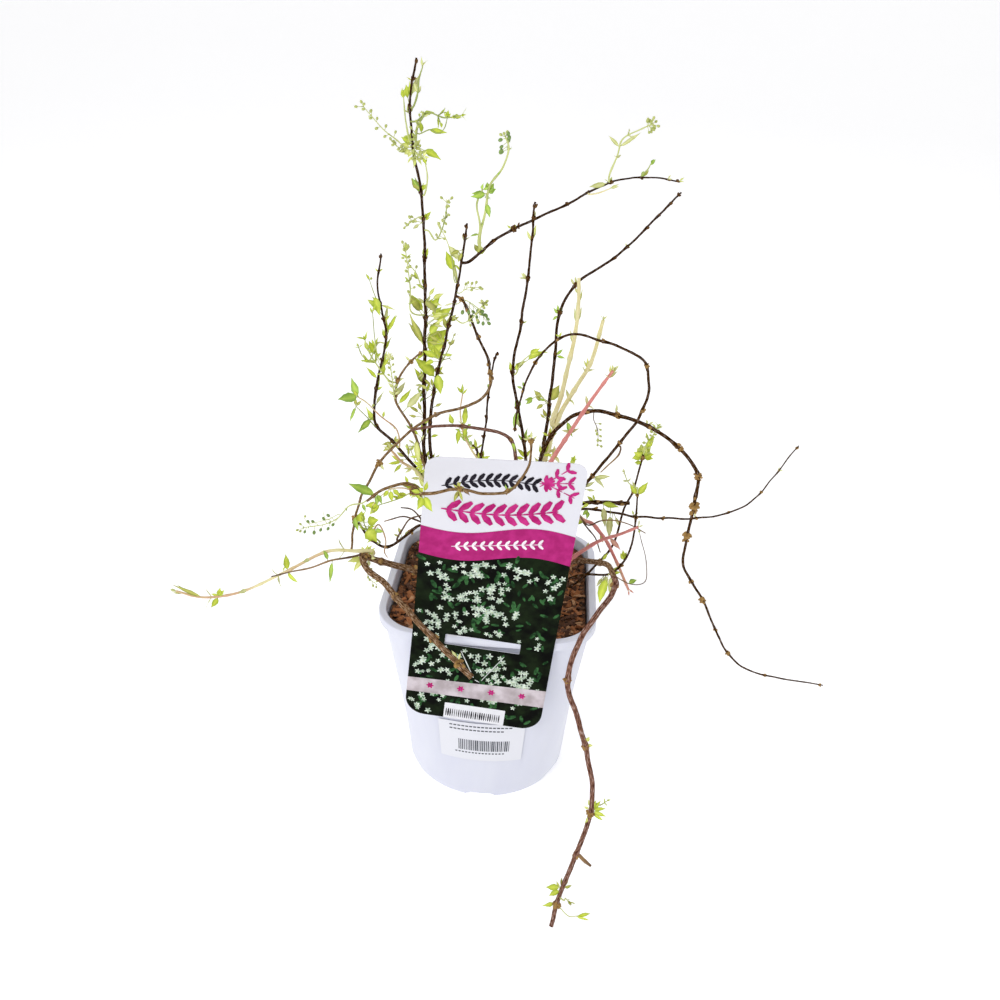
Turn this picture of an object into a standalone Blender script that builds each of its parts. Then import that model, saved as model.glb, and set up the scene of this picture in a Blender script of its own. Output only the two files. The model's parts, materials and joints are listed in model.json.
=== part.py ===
"""A young deutzia shrub in its square-rimmed nursery pot, with the hang card hooked over the rim.

Metres, +Z up. The origin is the middle of the pot's flat underside. The card hangs on the -Y side.
"""
import math
import random

import bmesh
import bpy
from mathutils import Matrix, Vector, kdtree, noise
from mathutils.bvhtree import BVHTree

MM = 0.001
GAP = 0.3 * MM                    # clear gap between solids that touch on the real plant

# Pot: a rounded-square rim that runs down to a round base
POT_HEIGHT = 150 * MM
RIM_SIDE = 144 * MM
RIM_CORNER = 31.5 * MM
RIM_LEDGE = 5 * MM
RIM_DEPTH = 6.5 * MM
BASE_RADIUS = 57.5 * MM
BASE_CHAMFER = 2.5 * MM
WALL = 1.8 * MM
FLOOR = 2.2 * MM
POT_SIDES = 40
NOTCH_COUNT = 6
NOTCH_WIDTH = 20 * MM
NOTCH_HEIGHT = 3 * MM
NOTCH_DEPTH = 5 * MM

# Potting mix and the woody crown that sits on it
MIX_LEVEL = 137 * MM
MIX_SWELL = 1.2 * MM
MIX_CLEAR = 1.2 * MM              # from the pot's wall, whose flats lie askew between round and square
CROWN_CENTRE = (-3 * MM, 4 * MM)
CROWN_RADIUS = 28 * MM
CROWN_TOP = 146 * MM
CROWN_SEAT = 24

# Hang card
CARD_WIDTH = 90 * MM
CARD_ABOVE = 134 * MM             # from the rim up
CARD_BELOW = 66 * MM              # from the rim down
CARD_THICK = 0.6 * MM
CARD_TURN = math.radians(5.2)     # it hangs a little crooked
CARD_CORNER_TOP = 8 * MM
CARD_CORNER_FOOT = 13 * MM
CARD_FORWARD = 18 * MM            # how far its top leans out
CARD_TWIST = 9 * MM               # how far its left top corner curls further out
CARD_FOOT_OUT = 1.5 * MM          # how far its foot stands off the tapering wall
SLOT_WIDTH = 48 * MM
SLOT_HEIGHT = 7.4 * MM

# Paper sticker on the wall below the card
STICKER_WIDTH = 56 * MM
WALL_RADIUS_THERE = 61.5 * MM
STICKER_LOW = 38 * MM
STICKER_HIGH = 73 * MM
STICKER_THICK = 0.4 * MM
STICKER_CLEAR = 0.45 * MM         # off the wall, whose flats it bridges

# Canes
RING_SPACING = 18 * MM
KNOT_SPACING = 52 * MM
KNOT_REACH = 3.5 * MM
KNOT_SWELL = 1.5
SEAT_RUN = 4 * MM                 # straight run where a limb leaves its seat

# Leaves and buds
LEAF_WIDTH = 0.4                  # of its length
LEAF_THICK = 0.8 * MM
BUD_LENGTH = 4.6 * MM
TWIG_THICK = 1.1 * MM
LEAF_SUNK = 0.4 * MM              # how deep a leaf's base sits in its stem
TIP_OVERLAP = 0.5 * MM            # how far back from a stem's tip its last leaves join it
CLEAR_OF_LIMB = 1.2 * MM
CLEAR_OF_SPRAY = 2.5 * MM
DRAWS = 24                        # draws allowed for a spray whose pieces don't fuse cleanly
SLIVER = 0.0005 * MM              # faces lower than this don't count as clean

# Canes of one growth from the crown: foot on the crown, route and end thicknesses, in millimetres.
# Each route starts a little above the crown and ends at the tip.
CROWN_CANES = {
    "tall_cane": ((-13, 11), [(-30, 10, 182), (-47, 9, 222), (-49, 12, 275), (-49, 17, 340),
                              (-51, 22, 394), (-58, 26, 434), (-59, 27, 451), (-55, 28, 476)], 3.1, 1.2),
    "leaning_cane": ((-8, 3), [(-24, 3, 182), (-43, 2, 239), (-42, -1, 281), (-33, -5, 325),
                               (-26, -9, 357), (-21, -13, 394)], 2.9, 1.2),
    "left_upright": ((-16, 18), [(-36, 19, 184), (-52, 20, 215), (-73, 25, 238), (-85, 28, 249),
                                 (-84, 31, 274), (-78, 36, 309), (-83, 40, 338), (-81, 42, 361)], 2.7, 1.1),
    "bowed_cane": ((-16, -1), [(-33, -3, 186), (-47, -4, 235), (-54, -6, 261), (-64, -8, 281),
                               (-63, -8, 295), (-54, -6, 308), (-48, -3, 313)], 2.5, 1.2),
    "left_loop": ((-23, 8), [(-36, 5, 172), (-50, 2, 187), (-61, 0, 178), (-74, -2, 170),
                             (-85, -4, 178), (-91, -8, 191)], 2.5, 1.6),
    "centre_upright": ((1, -4), [(14, -8, 202), (19, -10, 249), (15, -13, 274), (9, -19, 307),
                                 (13, -25, 343), (16, -31, 373), (18, -38, 412)], 2.7, 1.2),
    "right_arch": ((9, 8), [(20, 14, 192), (29, 20, 235), (32, 26, 272), (34, 32, 306), (35, 38, 330),
                            (45, 44, 348), (69, 54, 364), (86, 62, 380), (107, 72, 402)], 2.9, 1.2),
    "right_loop_rise": ((9, -10), [(30, -10, 182), (58, -14, 233), (73, -22, 262), (86, -29, 288),
                                   (90, -34, 308), (87, -38, 322)], 2.4, 1.6),
    "drooping_cane_arch": ((8, -1), [(18, 3, 192), (29, 2, 244), (35, -2, 262), (46, -6, 276),
                                     (58, -10, 283), (75, -17, 284), (95, -24, 280), (113, -30, 270),
                                     (125, -34, 255), (125, -37, 238)], 2.9, 2.1),
    "stub_cane": ((17, 3), [(30, 4, 186), (57, 2, 211), (73, 6, 211), (90, 10, 210)], 2.9, 2.5),
    "far_right_cane": ((16, 12), [(34, 18, 178), (58, 22, 196), (98, 34, 187), (143, 48, 181),
                                  (170, 56, 185), (183, 60, 192), (212, 74, 231)], 2.1, 0.9),
    "crooked_twig": ((-3, 14), [(-12, 20, 190), (-12, 22, 232), (-9, 24, 262), (-6, 27, 298),
                                (-3, 28, 305)], 2.0, 1.1),
    "low_right_cane": ((16, -12), [(40, -17, 158), (62, -16, 167), (80, -20, 172), (90, -22, 190),
                                   (92, -23, 218), (91, -23, 235)], 1.9, 1.1),
    "front_hanger_rise": ((1, -15), [(28, -24, 163), (55, -15, 176), (67, -34, 189), (75, -54, 199),
                                     (78, -70, 200)], 3.8, 3.5),
    "cut_cane_rise": ((-12, -11), [(-32, -9, 153), (-51, -8, 156), (-66, -13, 163), (-83, -22, 173)],
                      4.8, 4.2),
    "rear_left_cane": ((-8, 21), [(-14, 52, 187), (-20, 95, 200), (-28, 138, 186)], 3.0, 1.4),
    "rear_right_cane": ((6, 18), [(23, 56, 184), (38, 100, 182), (48, 146, 162)], 3.0, 1.4),
    "rear_droop_cane": ((-1, 24), [(10, 60, 176), (15, 108, 168), (18, 146, 126)], 2.8, 1.4),
    "rear_low_cane": ((-14, 26), [(-30, 62, 172), (-48, 104, 162), (-56, 136, 122)], 2.8, 1.4),
}

# Limbs that leave another limb: parent, share of its length (1 is its tip), route, thicknesses.
BRANCHES = {
    "long_right_branch": ("leaning_cane", 0.91, [(-8, -1, 381), (5, 8, 388), (34, 24, 400), (61, 38, 412),
                                                 (81, 48, 414), (104, 58, 411)], 1.8, 0.9),
    "left_hoop_top": ("leaning_cane", 0.83, [(-15, -15, 334), (-6, -22, 317), (-4, -25, 309)], 1.6, 1.5),
    "left_hoop_fall": ("left_hoop_top", 1, [(-5, -27, 299), (-16, -24, 288), (-37, -20, 279),
                                            (-60, -15, 258), (-76, -10, 237), (-93, -1, 199),
                                            (-100, 4, 162)], 1.8, 1.6),
    "left_arc": ("bowed_cane", 0.43, [(-56, -10, 224), (-69, -12, 222), (-84, -14, 212)], 2.4, 1.7),
    "right_loop_fall": ("right_loop_rise", 1, [(82, -40, 330), (61, -40, 338), (40, -38, 340),
                                               (22, -34, 320), (14, -32, 292), (12, -30, 275)], 1.6, 1.1),
    "drooping_cane_fall": ("drooping_cane_arch", 1, [(123, -39, 215), (123, -41, 195), (138, -43, 171),
                                                     (159, -44, 132), (175, -44, 119), (226, -42, 109)],
                           1.9, 0.9),
    "front_hanger_fall": ("front_hanger_rise", 1, [(76, -83, 196), (67, -96, 190), (59, -105, 178),
                                                   (53, -114, 155), (60, -124, 137), (69, -136, 112),
                                                   (72, -146, 87), (65, -158, 62), (57, -168, 40),
                                                   (53, -178, 22)], 3.5, 2.7),
    "cut_cane_reach": ("cut_cane_rise", 1, [(-81, -34, 172), (-69, -46, 171), (-54, -66, 170),
                                            (-40, -84, 168), (-25, -96, 161), (-4, -108, 148)], 4.2, 3.8),
    "card_twig_rise": ("bowed_cane", 0.36, [(-47, -40, 236), (-43, -84, 258), (-39, -103, 267)], 2.0, 1.8),
    "card_twig_cross": ("card_twig_rise", 1, [(-30, -112, 272), (-12, -112, 276), (0, -110, 273),
                                              (13, -107, 274), (23, -104, 287), (24, -101, 303)], 1.9, 1.3),
    "reddish_arch": ("centre_upright", 0.37, [(9, -13, 262), (-13, -19, 271), (-34, -28, 275),
                                              (-51, -31, 272)], 1.5, 1.0),
}

# The stem that comes up by itself through the mix
SUCKER_FOOT = (54, 8)
SUCKER_THICK, SUCKER_THIN = 1.7, 1.3
SUCKER_ROUTE = [(61, 9, 146), (72, 10, 160), (82, 11, 175), (88, 13, 206), (92, 13, 217), (96, 13, 245)]

# Leafy sprays: the limb and the share of its length where they sit, the route of their stem, the
# stem's thickness, the leaf length, and how their side growth goes: "leafy", "budded" or "shoot".
SPRAYS = {
    "crown_spray_left": ("tall_cane", 0.86, [(-66, 23, 432), (-73, 22, 437), (-80, 19, 445), (-84, 17, 450)],
                         1.3, 13, "budded"),
    "crown_spray_right": ("tall_cane", 0.9, [(-48, 22, 448), (-38, 18, 446), (-28, 14, 448)],
                          1.3, 15, "leafy"),
    "upper_spray": ("tall_cane", 0.72, [(-42, 12, 378), (-36, 6, 390), (-34, 2, 402)], 1.3, 17, "leafy"),
    "middle_spray": ("tall_cane", 0.57, [(-58, 8, 336), (-62, 2, 352), (-62, -2, 370)], 1.3, 17, "leafy"),
    "heart_spray": ("tall_cane", 0.47, [(-40, 4, 300), (-34, 6, 310), (-30, 8, 320)], 1.4, 22, "leafy"),
    "stalk_spray": ("long_right_branch", 0.1, [(-11, -5, 400), (-9, -6, 414), (-2, -6, 424),
                                               (1, -6, 435), (-1, -6, 440)],
                    1.4, 16, "budded"),
    "branch_spray": ("long_right_branch", 0.68, [(63, 34, 428), (65, 33, 437), (81, 32, 446)],
                     1.3, 14, "budded"),
    "hanging_buds": ("leaning_cane", 0.78, [(-22, -14, 336), (-14, -17, 343), (-10, -20, 350)],
                     1.1, 12, "budded"),
    "left_upright_spray": ("left_upright", 0.76, [(-89, 32, 292), (-93, 31, 296), (-95, 30, 302)],
                           1.3, 18, "leafy"),
    "bowed_spray": ("bowed_cane", 0.86, [(-72, -12, 302), (-78, -16, 314), (-80, -20, 324)],
                    1.3, 18, "leafy"),
    "left_leaf_mass": ("left_loop", 0.8, [(-84, -10, 186), (-88, -16, 198), (-92, -20, 208)],
                       1.5, 20, "leafy"),
    "left_bud_stalk": ("left_arc", 1, [(-94, -16, 208), (-108, -18, 196), (-124, -20, 190)],
                       1.3, 16, "budded"),
    "pale_shoot_left": ("cut_cane_rise", 0.97, [(-90, -26, 180), (-107, -30, 181), (-135, -37, 167),
                                                (-166, -43, 152), (-190, -47, 149), (-206, -49, 154)],
                        2.6, 17, "shoot"),
    "pale_shoot_tall": ("drooping_cane_arch", 0.3, [(38, 9, 268), (48, 5, 292), (56, 0, 311),
                                                    (61, -6, 340)], 3.8, 16, "shoot"),
    "pink_shoot_side": ("drooping_cane_arch", 0.36, [(40, -10, 256), (47, -17, 273), (57, -23, 295),
                                                     (68, -29, 317)], 3.3, 16, "shoot"),
    "yellow_cluster": ("sucker_cane", 1, [(98, 14, 256), (102, 14, 262), (104, 14, 270)],
                       1.4, 14, "leafy"),
    "right_leaf_mass": ("low_right_cane", 1, [(90, -26, 240), (84, -32, 246), (80, -38, 256)],
                        1.3, 17, "leafy"),
    "hanger_spray": ("front_hanger_fall", 0.62, [(80, -140, 92), (86, -142, 94)], 1.3, 14, "leafy"),
    "hanger_tip_spray": ("front_hanger_fall", 0.92, [(62, -172, 44), (68, -176, 42)], 1.3, 18, "leafy"),
    "rear_left_spray": ("rear_left_cane", 1, [(-34, 150, 186), (-38, 158, 196)], 1.4, 20, "leafy"),
    "rear_right_spray": ("rear_right_cane", 1, [(52, 158, 158), (54, 164, 165)], 1.4, 20, "leafy"),
    "rear_low_spray": ("rear_droop_cane", 1, [(20, 156, 116), (20, 160, 104)], 1.4, 20, "leafy"),
}

# Side growth of each kind of spray: node spacing in mm, which nodes bear twigs (0 for none), and how
# many buds its tip carries
HABIT = {
    "leafy": dict(node_gap=10, twig_every=3, tip_buds=0),
    "budded": dict(node_gap=17, twig_every=0, tip_buds=4),
    "shoot": dict(node_gap=24, twig_every=0, tip_buds=0),
}


def clear_scene():
    for item in list(bpy.data.objects):
        bpy.data.objects.remove(item, do_unlink=True)


def new_collection(name):
    collection = bpy.data.collections.new(name)
    bpy.context.scene.collection.children.link(collection)
    return collection


def make_material(name, colour, roughness):
    material = bpy.data.materials.new(name)
    material.use_nodes = True
    shader = material.node_tree.nodes["Principled BSDF"]
    shader.inputs["Base Color"].default_value = (*colour, 1.0)
    shader.inputs["Roughness"].default_value = roughness
    shader.inputs["Metallic"].default_value = 0.0
    material.diffuse_color = (*colour, 1.0)
    return material


def add_object(name, mesh, material, collection, smooth=True):
    item = bpy.data.objects.new(name, mesh)
    collection.objects.link(item)
    if not mesh.materials:
        mesh.materials.append(material)
    if smooth:
        mesh.shade_smooth()
        mesh.set_sharp_from_angle(angle=math.radians(40))
    return item


def mesh_from(shape, name):
    mesh = bpy.data.meshes.new(name)
    shape.to_mesh(mesh)
    shape.free()
    return mesh


def evaluated_mesh(item):
    bpy.context.view_layer.update()
    graph = bpy.context.evaluated_depsgraph_get()
    return bpy.data.meshes.new_from_object(item.evaluated_get(graph))


def baked_mesh(item):
    """The evaluated mesh of an object, welded, with the object removed."""
    mesh = evaluated_mesh(item)
    mesh.transform(item.matrix_world)
    shape = bmesh.new()
    shape.from_mesh(mesh)
    bmesh.ops.remove_doubles(shape, verts=shape.verts, dist=0.01 * MM)
    shape.to_mesh(mesh)
    shape.free()
    bpy.data.objects.remove(item, do_unlink=True)
    return mesh


# Pot

def square_reach(half_side, corner, angle):
    """Distance from the middle to a rounded square's edge along an angle."""
    c, s = abs(math.cos(angle)), abs(math.sin(angle))
    flat = half_side / max(c, s)
    inner = half_side - corner
    if min(c, s) * flat <= inner:
        return flat
    along = inner * (c + s)
    return along + math.sqrt(max(along * along - 2 * inner * inner + corner * corner, 0))


def wall_reach(angle, height, inset=0.0):
    """Outer wall of the pot: a circle at the base that grows to a rounded square under the rim."""
    rise = height / (POT_HEIGHT - RIM_DEPTH)
    overhang = RIM_LEDGE - WALL
    square = square_reach(RIM_SIDE / 2 - overhang, RIM_CORNER - overhang, angle)
    return BASE_RADIUS + (square - BASE_RADIUS) * rise - inset


def ring(shape, reach, height):
    points = []
    for step in range(POT_SIDES):
        angle = 2 * math.pi * (step + 0.5) / POT_SIDES
        far = reach(angle)
        points.append(shape.verts.new((far * math.cos(angle), far * math.sin(angle), height)))
    return points


def loft(shape, rings):
    """Walls between rings that go from inside to outside, and a cap on the first and last."""
    for inner, outer in zip(rings, rings[1:]):
        for step in range(POT_SIDES):
            nxt = (step + 1) % POT_SIDES
            shape.faces.new((inner[step], inner[nxt], outer[nxt], outer[step]))
    shape.faces.new(rings[0])
    shape.faces.new(list(reversed(rings[-1])))
    bmesh.ops.recalc_face_normals(shape, faces=shape.faces)


def build_pot(parts, cutters, material):
    rim_foot = POT_HEIGHT - RIM_DEPTH
    half = RIM_SIDE / 2
    shape = bmesh.new()
    rings = [
        ring(shape, lambda a: wall_reach(a, FLOOR, WALL), FLOOR),
        ring(shape, lambda a: wall_reach(a, POT_HEIGHT / 2, WALL), POT_HEIGHT / 2),
        ring(shape, lambda a: square_reach(half - RIM_LEDGE, RIM_CORNER - RIM_LEDGE, a), rim_foot),
        ring(shape, lambda a: square_reach(half - RIM_LEDGE, RIM_CORNER - RIM_LEDGE, a), POT_HEIGHT),
        ring(shape, lambda a: square_reach(half, RIM_CORNER, a), POT_HEIGHT),
        ring(shape, lambda a: square_reach(half, RIM_CORNER, a), rim_foot),
        ring(shape, lambda a: wall_reach(a, rim_foot), rim_foot),
        ring(shape, lambda a: wall_reach(a, POT_HEIGHT / 2), POT_HEIGHT / 2),
        ring(shape, lambda a: wall_reach(a, BASE_CHAMFER), BASE_CHAMFER),
        ring(shape, lambda a: BASE_RADIUS - BASE_CHAMFER, 0),
    ]
    loft(shape, rings)
    pot = add_object("pot", mesh_from(shape, "pot"), material, parts)

    shape = bmesh.new()
    for step in range(NOTCH_COUNT):
        angle = -math.pi / 2 + 2 * math.pi * step / NOTCH_COUNT
        place = (Matrix.Rotation(angle, 4, "Z")
                 @ Matrix.Translation((BASE_RADIUS, 0, 0))
                 @ Matrix.Diagonal((2 * NOTCH_DEPTH, NOTCH_WIDTH, 2 * NOTCH_HEIGHT, 1)))
        bmesh.ops.create_cube(shape, size=1, matrix=place)
    notches = bpy.data.objects.new("base_notches", mesh_from(shape, "base_notches"))
    notches.hide_render = True
    notches.display_type = "WIRE"
    cutters.objects.link(notches)
    cut = pot.modifiers.new("notches", "BOOLEAN")
    cut.operation = "DIFFERENCE"
    cut.object = notches
    return pot


# Potting mix and woody crown

def mix_height(x, y):
    """Gently uneven top of the mix, lower towards the wall."""
    far = math.hypot(x, y) / (RIM_SIDE / 2)
    wave = noise.noise(Vector((x, y, 0)) / (30 * MM))
    return MIX_LEVEL + MIX_SWELL * (wave - 1.6 * far * far)


def build_mix(parts, material):
    shape = bmesh.new()
    inset = WALL + MIX_CLEAR
    rings = [
        ring(shape, lambda a: wall_reach(a, FLOOR, inset) - GAP, FLOOR + GAP),
        ring(shape, lambda a: wall_reach(a, POT_HEIGHT / 2, inset), POT_HEIGHT / 2),
        ring(shape, lambda a: wall_reach(a, MIX_LEVEL, inset), MIX_LEVEL),
    ]
    for share in (0.75, 0.45, 0.2):
        rings.append(ring(shape, lambda a: share * wall_reach(a, MIX_LEVEL, inset), MIX_LEVEL))
    loft(shape, rings)
    for vertex in shape.verts:
        if vertex.co.z > MIX_LEVEL - 0.1 * MM:
            vertex.co.z = mix_height(vertex.co.x, vertex.co.y)
    return add_object("potting_mix", mesh_from(shape, "potting_mix"), material, parts)


def build_crown(parts, material):
    """The knobbly woody foot: a low lumpy disc with a flat top for the canes."""
    shape = bmesh.new()
    foot = mix_height(*CROWN_CENTRE) + GAP + MIX_SWELL / 2
    depth = CROWN_TOP - foot
    centre = Vector((*CROWN_CENTRE, foot + depth / 2))
    bmesh.ops.create_cone(shape, cap_ends=True, segments=CROWN_SEAT, radius1=CROWN_RADIUS * 0.92,
                          radius2=CROWN_RADIUS, depth=depth, matrix=Matrix.Translation(centre))
    for vertex in shape.verts:
        out = vertex.co - centre
        lump = 1 + 0.07 * math.sin(5 * math.atan2(out.y, out.x) + 0.6)
        vertex.co.x = centre.x + out.x * lump
        vertex.co.y = centre.y + out.y * lump
    return add_object("woody_crown", mesh_from(shape, "woody_crown"), material, parts)


# Limbs

def smooth_route(points, step):
    """Points about one step apart along a centripetal Catmull-Rom curve through the route."""
    ends = [points[0] * 2 - points[1], *points, points[-1] * 2 - points[-2]]
    path = []
    for p0, p1, p2, p3 in zip(ends, ends[1:], ends[2:], ends[3:]):
        t1 = math.sqrt((p1 - p0).length)
        t2 = t1 + math.sqrt((p2 - p1).length)
        t3 = t2 + math.sqrt((p3 - p2).length)
        count = max(2, math.ceil((p2 - p1).length / step))
        for index in range(count):
            t = t1 + (t2 - t1) * index / count
            a1 = p0.lerp(p1, t / t1)
            a2 = p1.lerp(p2, (t - t1) / (t2 - t1))
            a3 = p2.lerp(p3, (t - t2) / (t3 - t2))
            b1 = a1.lerp(a2, t / t2)
            b2 = a2.lerp(a3, (t - t1) / (t3 - t1))
            path.append(b1.lerp(b2, (t - t1) / (t2 - t1)))
    path.append(points[-1].copy())
    return path


class Limb:
    """A tapering limb: its finely sampled path, distances along it, and its thickness."""

    def __init__(self, start, heading, route, thick, thin):
        points = [start, start + heading * SEAT_RUN, *(Vector(p) * MM for p in route)]
        self.path = smooth_route(points, 2 * MM)
        self.along = [0.0]
        for a, b in zip(self.path, self.path[1:]):
            self.along.append(self.along[-1] + (b - a).length)
        self.length = self.along[-1]
        self.thick, self.thin = thick * MM, thin * MM

    def at(self, distance):
        for index, end in enumerate(self.along[1:]):
            if distance <= end:
                begin = self.along[index]
                return self.path[index].lerp(self.path[index + 1], (distance - begin) / (end - begin))
        return self.path[-1].copy()

    def heading(self, distance):
        step = 1.5 * MM
        low = max(distance - step, 0)
        high = min(distance + step, self.length)
        return (self.at(high) - self.at(low)).normalized()

    def radius(self, distance):
        share = distance / self.length
        return (self.thick + (self.thin - self.thick) * share) / 2

    def tube(self, distance):
        """Point, heading and radius of the ringed tube, which runs straight from ring to ring."""
        rings = self.rings()
        for (low, near), (high, far) in zip(rings, rings[1:]):
            if distance <= high:
                share = (distance - low) / (high - low)
                begin, end = self.at(low), self.at(high)
                return begin.lerp(end, share), (end - begin).normalized(), near + (far - near) * share
        return self.at(high), (end - begin).normalized(), far

    def seat(self, share, towards, child_thick):
        """Where a child starts and its first heading: off the tip, or square off the side."""
        distance = share * self.length
        point, heading, radius = self.tube(distance)
        if share >= 1:
            return point + heading * GAP, heading
        out = towards - point
        out = (out - heading * out.dot(heading)).normalized()
        stand = radius
        for step in range(-6, 7):
            beside, _, swell = self.tube(distance + child_thick * MM * step / 10)
            stand = max(stand, (beside - point).dot(out) + swell)
        return point + out * (stand + GAP), out

    def rings(self, knots=True):
        """Distances and radii of the rings, with a swelling at each knot."""
        marks = {0.0: 1.0, SEAT_RUN: 1.0, self.length: 0.8}
        if knots:
            count = max(1, round(self.length / KNOT_SPACING))
            for index in range(1, count):
                middle = self.length * index / count
                if middle < SEAT_RUN + 2 * KNOT_REACH:
                    continue
                marks[middle - KNOT_REACH] = 1.0
                marks[middle] = KNOT_SWELL
                marks[middle + KNOT_REACH] = 1.0
        order = sorted(marks)
        for low, high in zip(order, order[1:]):
            parts = math.ceil((high - low) / RING_SPACING)
            for index in range(1, parts):
                marks[low + (high - low) * index / parts] = 1.0
        return [(distance, self.radius(distance) * marks[distance]) for distance in sorted(marks)]


def limb_curve(name, limb, sides_step=1, knots=True):
    """A bevelled poly curve along the limb, tapering and swollen at its knots."""
    curve = bpy.data.curves.new(name, "CURVE")
    curve.dimensions = "3D"
    curve.bevel_depth = 1.0
    curve.bevel_resolution = sides_step
    curve.use_fill_caps = True
    rings = limb.rings(knots)
    spline = curve.splines.new("POLY")
    spline.points.add(len(rings) - 1)
    for point, (distance, radius) in zip(spline.points, rings):
        point.co = (*limb.at(distance), 1)
        point.radius = radius
    return curve


def build_limb(name, limb, parts, material):
    curve = limb_curve(name, limb)
    curve.materials.append(material)
    item = bpy.data.objects.new(name, curve)
    parts.objects.link(item)
    return item


def grow_limbs(parts, bark):
    limbs = {}
    for name, (foot, route, thick, thin) in CROWN_CANES.items():
        start = Vector((foot[0] * MM, foot[1] * MM, CROWN_TOP + GAP))
        limbs[name] = Limb(start, Vector((0, 0, 1)), route, thick, thin)
    foot = Vector(SUCKER_FOOT) * MM
    start = Vector((foot.x, foot.y, mix_height(foot.x, foot.y) + GAP))
    limbs["sucker_cane"] = Limb(start, Vector((0, 0, 1)), SUCKER_ROUTE, SUCKER_THICK, SUCKER_THIN)
    for name, (parent, share, route, thick, thin) in BRANCHES.items():
        start, heading = limbs[parent].seat(share, Vector(route[0]) * MM, thick)
        limbs[name] = Limb(start, heading, route, thick, thin)
    for name, limb in limbs.items():
        build_limb(name, limb, parts, bark)
    return limbs


# Leafy sprays

class Clearance:
    """Keeps leaves off the limbs and each spray out of the others' space."""

    def __init__(self, limbs):
        step = 3 * MM
        self.samples = [(limb.at(index * step), limb.radius(index * step))
                        for limb in limbs.values()
                        for index in range(int(limb.length / step) + 1)]
        self.tree = kdtree.KDTree(len(self.samples))
        for index, (point, _) in enumerate(self.samples):
            self.tree.insert(point, index)
        self.tree.balance()
        self.taken = []

    def free(self, points, spray, reach):
        for point in points:
            if point.z < 3 * MM:
                return False
            _, index, distance = self.tree.find(point)
            if distance < self.samples[index][1] * KNOT_SWELL + reach + CLEAR_OF_LIMB:
                return False
            for other, owner in self.taken:
                if owner != spray and (other - point).length < reach + CLEAR_OF_SPRAY:
                    return False
        return True

    def take(self, points, spray):
        self.taken.extend((point, spray) for point in points)

    def release(self, spray):
        self.taken = [(point, owner) for point, owner in self.taken if owner != spray]


def aligned(heading, roll=0.0):
    """A turn that takes +Z to a heading, spun about it by a roll."""
    return heading.to_track_quat("Z", "Y").to_matrix().to_4x4() @ Matrix.Rotation(roll, 4, "Z")


def leaf_solid(base, heading, roll, length):
    """A pointed eight-faced blade, widest two fifths of the way up."""
    shape = bmesh.new()
    bmesh.ops.create_uvsphere(shape, u_segments=4, v_segments=2, radius=0.5)
    for vertex in shape.verts:
        if abs(vertex.co.z) < 0.1:
            vertex.co.z = -0.1
    bmesh.ops.scale(shape, verts=shape.verts, vec=(LEAF_WIDTH * length, LEAF_THICK, length))
    bmesh.ops.translate(shape, verts=shape.verts, vec=(0, 0, length / 2))
    bmesh.ops.transform(shape, verts=shape.verts, matrix=Matrix.Translation(base) @ aligned(heading, roll))
    return mesh_from(shape, "leaf")


def bud_solid(base, heading, length):
    shape = bmesh.new()
    bmesh.ops.create_uvsphere(shape, u_segments=4, v_segments=2, radius=length / 2)
    bmesh.ops.scale(shape, verts=shape.verts, vec=(0.75, 0.75, 1))
    bmesh.ops.translate(shape, verts=shape.verts, vec=(0, 0, length / 2))
    bmesh.ops.transform(shape, verts=shape.verts, matrix=Matrix.Translation(base) @ aligned(heading))
    return mesh_from(shape, "bud")


def twig_solid(base, tip, thick):
    """A three-sided tapering twig."""
    run = tip - base
    shape = bmesh.new()
    place = Matrix.Translation((base + tip) / 2) @ aligned(run.normalized(), 0.4)
    bmesh.ops.create_cone(shape, cap_ends=True, segments=3, radius1=thick / 2, radius2=thick * 0.35,
                          depth=run.length, matrix=place)
    return mesh_from(shape, "twig")


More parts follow.
